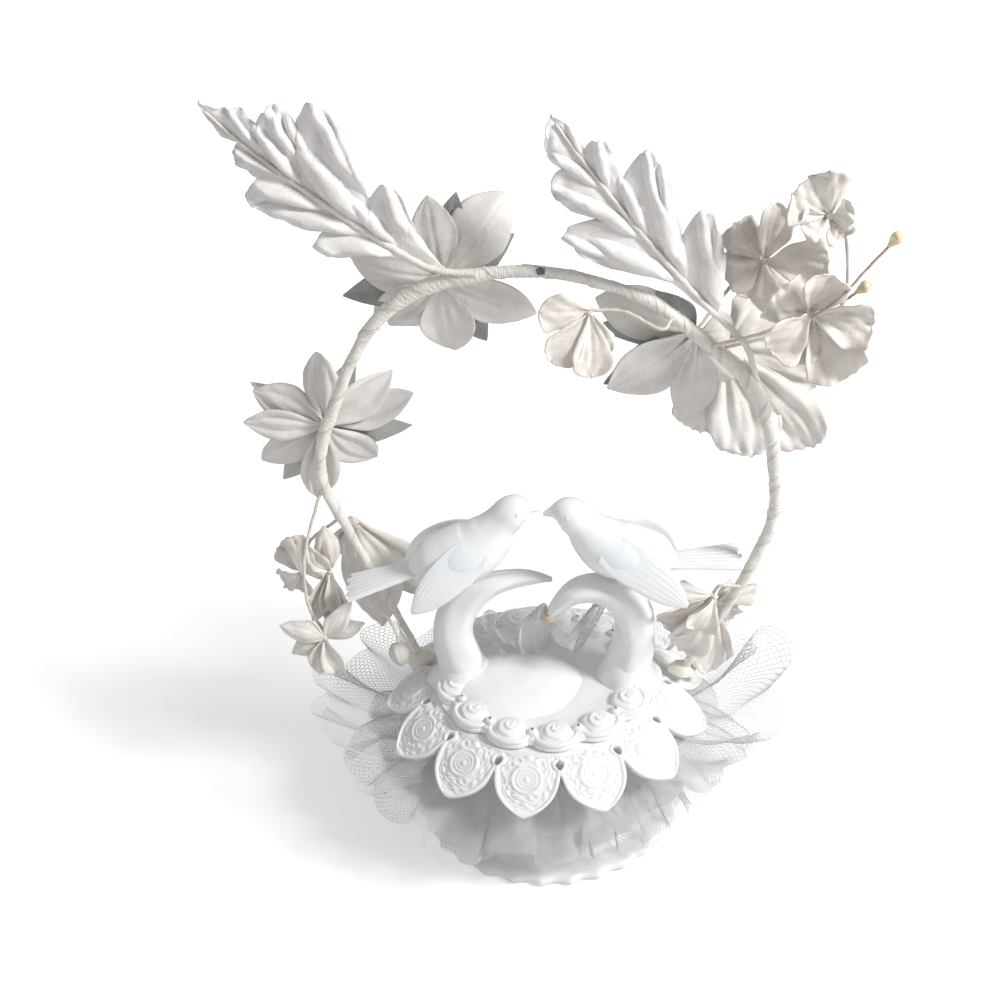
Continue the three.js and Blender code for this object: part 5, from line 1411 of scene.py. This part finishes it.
# %% Places of the heads
head_places = {
    "lily_left_petals": ("lily", [-0.378, 0.14, 0.977], [
        (97, 0.79, 0.8), (46, 1.05, 1.08), (-29, 1.09, 0.88), (-87, 0.93, 0.96), (-129, 1, 0.96),
        (-149, 0.99, 0.64), (171, 0.93, 0.84)]),
    "lily_left_net": ("sheer", [-0.38, 0.222, 0.965], [
        (77, 0.83, 0.72), (20, 0.82, 0.72), (-59, 0.9, 0.72), (-124, 0.56, 0.64), (-171, 1.03, 0.72)]),
    "lily_side_petals": ("ridged", [-0.936, 0.188, 0.648], [
        (88, 0.78, 0.68), (149, 0.8, 0.76), (175, 0.83, 0.64), (-146, 0.93, 0.76), (-102, 1, 0.72),
        (-54, 0.81, 0.72), (10, 0.96, 0.72), (33, 0.9, 0.72)]),
    "lily_side_net": ("sheer", [-0.944, 0.244, 0.634], [
        (66, 0.78, 0.52), (147, 0.87, 0.56), (-15, 0.94, 0.64), (-123, 0.97, 0.56)]),
    "drop_blossom": ("smooth", [0.217, -0.067, 0.934], [
        (164, 0.9, 0.91), (-134, 0.99, 0.82), (-90, 1, 0.91), (-70, 0.77, 0.64)]),
    "lily_right_petals": ("lily", [0.661, 0.029, 0.86], [
        (164, 1.04, 1.04), (-145, 1.04, 1), (-114, 0.76, 0.56), (-87, 1.03, 0.8), (-55, 0.97, 0.96),
        (2, 0.4, 0.72)]),
    "lily_right_net": ("sheer", [0.67, 0.09, 0.845], [
        (180, 1.01, 0.64), (-152, 1.03, 0.68), (127, 0.62, 0.64)]),
    "broad_petals": ("broad", [0.822, 0.18, 0.792], [
        (-104, 1.05, 1.36), (-79, 1.24, 1.28), (-48, 1.57, 1.12), (-24, 1.13, 1.36), (47, 0.62, 1.04)]),
    "spray_blossom_top": ("blossom", [1.143, -0.118, 1.122], [
        (144, 0.88, 1.14), (97, 0.92, 0.82), (5, 0.36, 0.64), (-168, 0.51, 0.73), (-62, 0.41, 0.64)]),
    "spray_blossom_middle": ("blossom", [0.935, 0.045, 1.005], [
        (134, 0.89, 0.82), (82, 1.03, 0.77), (9, 1.03, 1.27), (-141, 0.71, 1.18), (-78, 0.92, 0.82)]),
    "spray_blossom_front": ("blossom", [1.079, -0.196, 0.944], [
        (151, 0.86, 1.18), (75, 0.81, 1), (-8, 0.99, 1.09), (-61, 1.34, 1.27), (-100, 0.85, 0.82),
        (-144, 0.85, 1)]),
    "cluster_left_blossom": ("drooping", [-1.123, 0.167, 0.273], [
        (142, 0.65, 0.73), (-162, 0.52, 0.73), (92, 0.79, 0.64), (-108, 0.66, 0.82), (31, 0.54, 0.82)]),
    "cluster_left_star": ("star", [-1.026, -0.02, 0.155], [
        (-149, 0.74, 0.82), (-103, 0.77, 0.82), (-64, 0.81, 0.82), (16, 0.73, 0.73), (57, 0.87, 0.73),
        (160, 0.82, 0.82)]),
    "cluster_left_bell": ("bell", [-0.979, 0.1, 0.297], [
        (-111, 1.26, 0.73), (-97, 1.3, 0.73), (-81, 1.13, 0.73), (96, 0.9, 0.8), (124, 0.72, 0.64)]),
    "cluster_left_leaves": ("leaves", [-0.869, 0.21, 0.391], [
        (-105, 0.85, 0.64), (-90, 0.76, 0.64), (-79, 1.76, 1.2), (-66, 1.8, 1.12)]),
    "cluster_right_trumpet": ("trumpet", [0.775, -0.108, 0.252], [
        (-143, 1.24, 0.91), (-117, 1.41, 1), (-122, 0.74, 0.82), (-179, 0.89, 0.64)]),
    "cluster_right_petals": ("open", [0.792, 0.018, 0.188], [
        (-49, 0.74, 0.82), (-85, 1.6, 1), (-96, 1.66, 0.82), (24, 0.61, 0.82), (28, 0.91, 0.73)]),
}
print("petals in all:", sum(len(petals) for _, _, petals in head_places.values()))

# %% Heads
facings = {"cluster_left_star": (-0.1, -1, 0.2)}
towards_viewer = (0, -1, 0)
layer_pitch, first_seed = 0.8, 11


def around_axis(angle):
    turn = math.radians(angle)
    return np.array([[math.cos(turn), math.sin(turn), 0], [-math.sin(turn), math.cos(turn), 0], [0, 0, 1]])


def puckered(latitude, turn):
    return 1 + 0.12 * np.sin(turn * 5 + latitude * 3)


def flower_head(name, seed):
    """Petals in three layers round a puckered heart, and the flat cloth of the petals."""
    kind_name, place, petals = head_places[name]
    kind, draw = kinds[kind_name], np.random.default_rng(seed)
    head, cloth = Part(), 0.0
    for index, (turn, reach, wide) in enumerate(petals):
        leaf, area = petal(kind, reach, wide, draw)
        layer, spin = (index % 3 - 1) * layer_pitch, around_axis(turn)
        head.join(leaf.moved(np.array([kind["heart"] * 0.3, 0, layer]) @ spin, spin))
        cloth += area
    head.join(ball(kind["heart"] * 0.62, 20, kind["deep"] / kind["heart"] * 0.8, puckered))
    return head.moved(by_arch(place), axes_for(facings.get(name, towards_viewer))), cloth


def satin_for(name):
    if kinds[head_places[name][0]] is kinds["sheer"]:
        return (pale_sheer if name == "lily_side_net" else sheer_leaf), "sheer_leaf"
    if name.startswith("cluster"):
        return aged_satin, "satin"
    return (spray_satin if "blossom" in name else lily_satin), "satin"


for seed, name in enumerate(head_places):
    head, cloth = flower_head(name, seed + first_seed)
    finish, slot = satin_for(name)
    make(f"{name}_pressed", head, finish, slot, name)
print("heads:", len(head_places))

# %% [markdown]
# ## The two embossed leaves
# These are the showpieces: each leaf is cut into swept lobes, and a hot die has pressed
# every lobe into a puffed ridge with a groove between it and the next. The sheet is laid
# out along its veins, so a row runs from the midrib out to the edge. Where the edge table
# dips there is a notch, and the groove of the die runs from that notch back to the midrib.

# %% Leaf tables
embossed_leaves = {
    "plume_left": {
        "base": (-0.36, 0.045, 1.018), "heading": 141.4, "length": 58.3, "puff": 2.25, "sag": 0.105,
        "upper": [(0, 0.03), (0.1, 0.2), (0.15, 0.4), (0.19, 0.49), (0.235, 0.43), (0.29, 0.26),
                  (0.31, 0.45), (0.36, 0.64), (0.43, 0.7), (0.49, 0.74), (0.53, 0.66), (0.58, 0.46),
                  (0.64, 0.51), (0.69, 0.46), (0.745, 0.24), (0.8, 0.27), (0.9, 0.13), (1, 0.02)],
        "lower": [(0, 0.03), (0.14, 0.04), (0.2, 0.2), (0.26, 0.41), (0.32, 0.39), (0.365, 0.23),
                  (0.42, 0.35), (0.5, 0.375), (0.57, 0.395), (0.62, 0.35), (0.665, 0.16), (0.74, 0.2),
                  (0.79, 0.12), (0.82, 0.03), (0.86, 0.08), (0.93, 0.04), (1, 0.02)],
        "pillows": [(0.6, 0.72, 0, 5.8, 0.07, 0.9), (0.374, 0.515, 0, 8.4, 0.12, 1.1),
                    (0.226, 0.337, 0, 5.1, 0.08, 0.8), (0.33, 0.5, 8, 18.5, 0.05, 0.75),
                    (0.29, 0.4, 7, 17, 0.035, 0.6), (0.58, 0.7, 5, 12, 0.045, 0.7),
                    (0.54, 0.62, 7, 13, 0.035, 0.55), (0.16, 0.21, 4, 12, 0.04, 0.7),
                    (0.74, 0.86, 1.5, 5, 0.045, 0.5),
                    (-0.485, -0.626, 0, 6.3, 0.075, 1.0), (-0.33, -0.528, 0, 10.4, 0.075, 0.9),
                    (-0.42, -0.57, 6, 11, 0.03, 0.5), (-0.19, -0.3, 0, 10.4, 0.08, 0.9),
                    (-0.642, -0.794, 0, 2.6, 0.06, 0.7)],
        "tail": [], "joins": (0.456, (0, -1, 0.5)),
    },
    "plume_right": {
        "base": (0.733, -0.059, 0.921), "heading": 128.2, "length": 53.8, "puff": 1.7, "sag": 0.045,
        "upper": [(0, 0.12), (0.05, 0.42), (0.1, 0.5), (0.17, 0.6), (0.23, 0.5), (0.266, 0.26), (0.31, 0.34),
                  (0.36, 0.41), (0.42, 0.5), (0.5, 0.54), (0.55, 0.5), (0.605, 0.18), (0.66, 0.26),
                  (0.74, 0.27), (0.78, 0.2), (0.81, 0.08), (0.86, 0.13), (0.92, 0.09), (1, 0.02)],
        "lower": [(0, 0.04), (0.15, 0.05), (0.22, 0.16), (0.29, 0.42), (0.36, 0.54), (0.46, 0.58),
                  (0.51, 0.44), (0.535, 0.22), (0.58, 0.35), (0.64, 0.4), (0.7, 0.37), (0.775, 0.2),
                  (0.83, 0.23), (0.88, 0.19), (0.95, 0.1), (1, 0.02)],
        "pillows": [(0.02, 0.1, 0, 9, 0.08, 0.8), (0.24, 0.4, 0, 8.5, 0.1, 1.0),
                    (0.46, 0.58, 0, 4.5, 0.08, 0.8), (0.42, 0.55, 6, 13.5, 0.04, 0.8),
                    (0.34, 0.45, 6, 13.5, 0.035, 0.7),
                    (0.1, 0.22, 6, 14, 0.045, 0.8), (0.04, 0.12, 5, 14, 0.035, 0.6),
                    (0.68, 0.76, 0, 6, 0.05, 0.7), (0.82, 0.9, 0, 2.6, 0.05, 0.5),
                    (-0.22, -0.4, 0, 10, 0.085, 0.9), (-0.3, -0.46, 7, 15, 0.04, 0.7),
                    (-0.46, -0.62, 0, 6.5, 0.08, 0.9), (-0.58, -0.69, 3.5, 9.6, 0.045, 0.7),
                    (-0.7, -0.82, 0, 5, 0.06, 0.7)],
        "tail": [(0.845, -0.1, 0.862)], "joins": (0.69, (1, -0.2, 0.6)),
    },
}
print("pillows:", {name: len(design["pillows"]) for name, design in embossed_leaves.items()})

# %% Lobes and the cut edge
def lobes_of(edge):
    """Notch places: the ends and every dip of the edge table."""
    places = [0.0]
    for before, here, after in zip(edge, edge[1:], edge[2:]):
        if here[1] < before[1] and here[1] <= after[1]:
            places.append(here[0])
    return np.array(places + [1.0])


def lobe_at(notches, along):
    """The number of the lobe that each place lies in."""
    return np.clip(np.searchsorted(notches, along, side="right") - 1, 0, len(notches) - 2)


def edge_reach(edge, along):
    """The cut edge: each lobe of the table is made round, with small bites between teeth."""
    places, reaches = np.array(edge).T
    notches = lobes_of(edge)
    depths = np.interp(notches, places, reaches)
    straight, floor = np.interp(along, places, reaches), np.interp(along, notches, depths)
    fine = np.linspace(0, 1, 400)
    over = np.interp(fine, places, reaches) - np.interp(fine, notches, depths)
    tops = [max(over[lobe_at(notches, fine) == lobe].max(), 0.01) for lobe in range(len(notches) - 1)]
    top = np.array(tops)[lobe_at(notches, along)]
    swell = top * (np.clip(straight - floor, 0, None) / top) ** 0.8
    teeth = 0.035 * np.abs(np.sin(along * 44 + 0.6)) ** 0.6 * np.sqrt(straight)
    return np.maximum(floor + swell - 0.02 + teeth, 0.012)


print("lobe helpers ready")

# %% The pressed sheet
leaf_breadth, leaf_sweep, leaf_bow, blade_wall = 27.0, math.radians(35), 2.6, 0.34
blade_rows, half_columns = 220, 30


def midrib_sag(design, along):
    return leaf_breadth * design["sag"] * np.abs(np.sin(math.pi * along)) ** 0.4


def leaf_height(design, side, along, out, reach):
    """Long fat pillows that run out from the midrib, sunk veins between them and curled teeth."""
    height = np.zeros_like(reach)
    for start, stop, nearest, farthest, width, rise in design["pillows"]:
        if start * side > 0:
            continue
        run = np.clip((reach - nearest) / (farthest - nearest), -0.2, 1.4)
        centre = abs(start) + (abs(stop) - abs(start)) * run
        wide = width * (0.55 + 0.45 * np.sin(math.pi * np.clip(run, 0, 1)) ** 0.7)
        over = np.clip(1 - ((along - centre) / wide) ** 2, 0, 1) ** 0.75
        ends = np.clip((run - 0.03) * 3.5, 0, 1) * np.clip((1.12 - run) * 4, 0, 1)
        height = np.maximum(height, rise * over * ends)
    notches = lobes_of(design["upper" if side < 0 else "lower"])
    lobe = lobe_at(notches, along)
    phase = fade(along, notches[lobe], notches[lobe + 1] - notches[lobe])
    rim = np.sin(math.pi * phase) ** 0.7 * np.clip((out - 0.5) * 2.2, 0, 1)
    curl = rim * (0.35 * np.sin(out * 9 + phase * 7) + 0.22 * np.cos(phase * 21 + out * 4))
    lift = 0.3 * np.sin(math.pi * phase) ** 0.6 * np.sin(math.pi * out ** 0.75)
    crease = 0.05 * np.cos(phase * 15 + out * 7) * out
    small = np.clip(reach / 3, 0.15, 1)
    return design["puff"] * (height + lift * small + (curl + crease) * np.clip(reach / 6, 0, 1))


def leaf_sheet(design):
    """Its points and its cloth; the side is -1 for the upper half and 1 for the lower one."""
    along, out = np.linspace(0, 1, blade_rows)[:, None], np.linspace(0, 1, half_columns)[None, :]
    run = along * design["length"]
    halves = []
    for side, edge in ((-1, design["upper"]), (1, design["lower"])):
        reach = edge_reach(edge, along) * leaf_breadth * out
        height = leaf_height(design, side, along, out, reach)
        height = height + 0.35 * np.sin(along * 21 + side) * out - leaf_bow * along ** 2
        x = run + reach * math.sin(leaf_sweep)
        y = side * reach * math.cos(leaf_sweep) + midrib_sag(design, along)
        half = grid(x, y, height, run, side * reach)
        halves.append(half[:, ::-1] if side < 0 else half[:, 1:])
    sheet = np.concatenate(halves, 1)
    return sheet[..., :3], sheet[..., 3:]


print("points of a leaf:", blade_rows * (2 * half_columns - 1))

# %% Two embossed leaves
def leaf_frame(design):
    heading = math.radians(design["heading"])
    x = np.array([math.cos(heading), 0, math.sin(heading)])
    z = np.array([0, -1.0, 0])
    return by_arch(design["base"]), np.stack([x, np.cross(z, x), z])


for name, design in embossed_leaves.items():
    sheet, cloth = leaf_sheet(design)
    pressed = shell(sheet, blade_wall, cloth).moved(*leaf_frame(design))
    make(f"{name}_embossed", pressed, leaf_satin, "satin", name)
    print(name, "lobes:", len(lobes_of(design["upper"])) + len(lobes_of(design["lower"])) - 2)

# %% [markdown]
# ## Ribs, stems, stamens and buds
# Stems are thin wires wrapped in paper. Each starts behind its flower and runs to the taped
# arch, where it is bound in. The points are the ones of the CAD part.

# %% Stems in the tape
arch_share = run_of(arch_path) / arch_length
clear = 0.3
stem_sideways = (0, 1, 0.3)


def in_the_tape(joins):
    """Where the wound tape holds the end of a stem."""
    share, away = joins
    place, ahead = (np.array([np.interp(spot, arch_share, column) for column in arch_path.T])
                    for spot in (share, share + 0.002))
    tangent = unit(ahead - place)
    girth = tape_radius * np.interp(share, np.linspace(0, 1, len(tape_shares)), tape_shares)
    return place + unit(np.array(away) - np.dot(away, tangent) * tangent) * (girth * 0.9)


def paper_stem(points, radius, samples=90):
    """A wrapped wire: its radius wavers with the turns of the paper."""
    path = curve_through(points, samples)

    def wrapped(turn, share):
        return 1 + 0.1 * np.sin(share * samples * 0.55 + turn) + 0.05 * np.sin(share * 37 + turn * 2)

    return tube(path, radius, 12, stem_sideways, wrapped)


print("stem helpers ready")

# %% Midrib wires
rib_radius, rib_sink, rib_samples = 0.62, 0.25, 160
rib_places = [0.97, 0.8, 0.6, 0.4, 0.2, 0.04]


def twisted(turn, share):
    return 1 + 0.09 * np.sin(share * 120 + turn)


def leaf_rib(design):
    """The wire lies on the blade, a little sunk into it, and its tail runs to the tape."""
    origin, axes = leaf_frame(design)
    along = np.array(rib_places)
    above = blade_wall / 2 + rib_radius * (1 - rib_sink) - leaf_bow * along ** 2
    on_blade = grid(along * design["length"], midrib_sag(design, along), above) @ axes + origin
    tail = [by_arch(place) for place in design["tail"]]
    path = curve_through([*on_blade, *tail, in_the_tape(design["joins"])], rib_samples)
    girth = rib_radius * (0.45 + 0.65 * np.clip(np.linspace(0, 1, rib_samples) * 1.5, 0, 1))
    return tube(path, girth, 14, stem_sideways, twisted)


for name, design in embossed_leaves.items():
    make(f"{name}_midrib", leaf_rib(design), rib_paper, "paper_tape", f"{name}_rib")
print("ribs ready")

# %% Stems
stem_routes = {
    "spray_stem_top": ("spray_blossom_top", [
        (1.2, -0.09, 1.1), (1.24, -0.08, 1.02), (1.22, -0.1, 0.93), (1.02, -0.08, 0.88)],
        (0.655, (0.6, 0.5, 1))),
    "spray_stem_middle": ("spray_blossom_middle", [(0.9, 0.105, 0.985), (0.8, 0.07, 0.945)],
                          (0.63, (0.3, 1, 0.9))),
    "spray_stem_front": ("spray_blossom_front", [(1.02, -0.15, 0.92), (0.9, -0.17, 0.9)],
                         (0.645, (0.3, -1, 0.3))),
    "cluster_left_stem_long": ("cluster_left_star", [(-1.09, 0.02, 0.24), (-1.08, 0.06, 0.36)],
                               (0.2, (-1, 0, 0))),
    "drop_blossom_stem": ("drop_blossom", [(0.36, -0.02, 0.925), (0.5, -0.09, 0.9)], (0.607, (0, -1, -0.3))),
    "cluster_left_stem_back": ("cluster_left_blossom", [(-1.08, 0.22, 0.34)], (0.168, (-1, 0.4, 0))),
    "cluster_right_stem": ("cluster_right_trumpet", [(0.8, -0.1, 0.28)], (0.885, (-0.4, -1, 0.2))),
}
stem_radius, stem_gap = 0.4, 0.9
bud_place = by_arch((-0.69, 0.05, 0.075))
bud_half = 3.2


def head_back(name):
    """The start of a stem, behind its head's heart."""
    kind_name, place, _ = head_places[name]
    facing = unit(np.array(facings.get(name, towards_viewer), float))
    return by_arch(place) - facing * (kinds[kind_name]["deep"] / 2 + clear + stem_gap)


for name, (head, through, joins) in stem_routes.items():
    points = [head_back(head), *[by_arch(place) for place in through], in_the_tape(joins)]
    make(f"{name}_wrapped", paper_stem(points, stem_radius), stem_paper, "paper_tape", name)
bud_points = [bud_place + (0, 0, bud_half + clear), by_arch((-0.71, 0.06, 0.15)),
              by_arch((-0.78, 0.08, 0.22)), in_the_tape((0.115, (0, -1, 0)))]
bud_stem = paper_stem(bud_points, stem_radius)
make("bud_stem_wrapped", bud_stem, stem_paper, "paper_tape", "cluster_left_bud_stem")
print("stems:", len(stem_routes) + 1)

# %% Bud and stamens
bud_profile = [
    (0, -bud_half), (1.1, -2.95), (2.2, -1.3), (2.55, 0.3), (2.1, 2.1), (1.0, 3.0), (0, bud_half),
]
pearl_profile = [
    (0, -1.8), (0.42, -1.66), (0.62, -1.1), (0.95, -0.3), (1.3, 0.5), (1.22, 1.3), (0.7, 1.8), (0, 1.94),
]
stamen_radius, pearl_length = 0.3, 3.6
stamen_routes = {
    "stamen_long": [(1.079, -0.236, 0.944), (1.17, -0.275, 0.99), (1.27, -0.25, 1.04),
                    (1.345, -0.255, 1.085)],
    "stamen_short": [(1.16, -0.12, 0.935), (1.23, -0.13, 0.953), (1.27, -0.14, 0.97)],
}


def folded(radius, level, turn):
    """Four petals that overlap in a slow screw."""
    wrap = (turn / TURN * 4 + level * 0.09) % 1.0
    return radius * (1 + 0.16 * wrap * np.exp(-((wrap - 0.9) / 0.5) ** 2) - 0.06), level


def pooled(radius, level, turn):
    return radius * (1 + 0.06 * np.sin(turn * 2 + level * 2)), level


bud = turned(bud_profile, 64, folded, samples=40).moved(bud_place)
make("bud_folded", bud, aged_satin, "satin", "cluster_left_bud")
pearl = turned(pearl_profile, 40, pooled, samples=36)
for name, route in stamen_routes.items():
    points = np.array([by_arch(place) for place in route])
    heading = unit(points[-1] - points[-2])
    drop = pearl.moved(points[-1] + heading * (pearl_length / 2 - clear), axes_for(heading))
    make(f"{name}_thread", paper_stem(points, stamen_radius, 60), stamen_paper, "paper_tape", name)
    make(f"{name}_drop", drop, pearl_varnish, "pearl", f"{name}_pearl")
print("stamens:", len(stamen_routes))
# %% [markdown]
# ## Studio
# The floor is plain and pale. Camera rays see it almost white, and whiter farther out, and it
# keeps the soft shadow under the piece. One broad lamp stands high on the right, a weaker one
# fills from the left, and the sky gives an even base.

# %% Floor
floor_reach, floor_drop = 3.0, 0.0002
glow_starts, glow_ends, near_glow, far_glow = 0.1, 0.35, 0.36, 1.0


def pale_floor():
    """A white floor that glows for the camera alone, more so away from the piece."""
    signs = (-1, -1), (1, -1), (1, 1), (-1, 1)
    corners = [(x * floor_reach, y * floor_reach, -floor_drop) for x, y in signs]
    mesh = bpy.data.meshes.new("studio_floor")
    mesh.from_pydata(corners, [], [(0, 1, 2, 3)])
    finish = Finish("studio_floor", (0.86, 0.86, 0.86), 0.9)
    position = finish.add("NewGeometry").outputs["Position"]
    away = finish.add("VectorMath", {0: position}, operation="LENGTH").outputs["Value"]
    glowing = finish.spread(away, glow_starts, glow_ends, near_glow, far_glow)
    seen = finish.maths("MULTIPLY", finish.add("LightPath").outputs["Is Camera Ray"], glowing)
    glow = finish.add("Emission", {"Color": (1, 1, 1, 1), "Strength": seen})
    both = finish.add("AddShader", {0: finish.shader.outputs[0], 1: glow.outputs[0]})
    wire_in(finish.tree, finish.result.inputs["Surface"], both.outputs[0])
    mesh.materials.append(finish.material)
    add_object("studio_floor", mesh)


pale_floor()
print("floor ready")

# %% Sky and lamps
sky_light, seen_sky = 0.4, 1.0
middle = (0, 0, 0.09)


def even_sky():
    """White where the camera sees it, also through thin cloth, and dimmer as a lamp."""
    world = bpy.data.worlds.new("studio_sky")
    bpy.context.scene.world = world
    world.use_nodes = True
    tree = world.node_tree
    rays = add_node(tree, "ShaderNodeLightPath").outputs
    seen = add_node(tree, "ShaderNodeMath", {
        0: rays["Is Camera Ray"], 1: rays["Is Transmission Ray"],
    }, operation="MAXIMUM")
    lift = add_node(tree, "ShaderNodeMapRange", {
        "Value": seen.outputs[0], "To Min": sky_light, "To Max": seen_sky,
    })
    sky = tree.nodes["Background"]
    wire_in(tree, sky.inputs["Color"], (1, 1, 1, 1))
    wire_in(tree, sky.inputs["Strength"], lift.outputs["Result"])


def soft_lamp(name, place, size, power, colour):
    """A round lamp that looks at the middle of the piece."""
    data = bpy.data.lights.new(name, "AREA")
    data.shape, data.size, data.energy, data.color = "DISK", size, power, colour
    stand(add_object(name, data), axes_for(np.array(place) - np.array(middle)), place)


even_sky()
soft_lamp("key_lamp", (0.48, -0.22, 0.5), 0.18, 4.3, (1.0, 0.99, 0.975))
soft_lamp("fill_lamp", (-0.5, -0.35, 0.4), 0.5, 0.35, (0.98, 0.985, 1.0))
bpy.context.scene.view_settings.view_transform = "Standard"
print("studio ready")
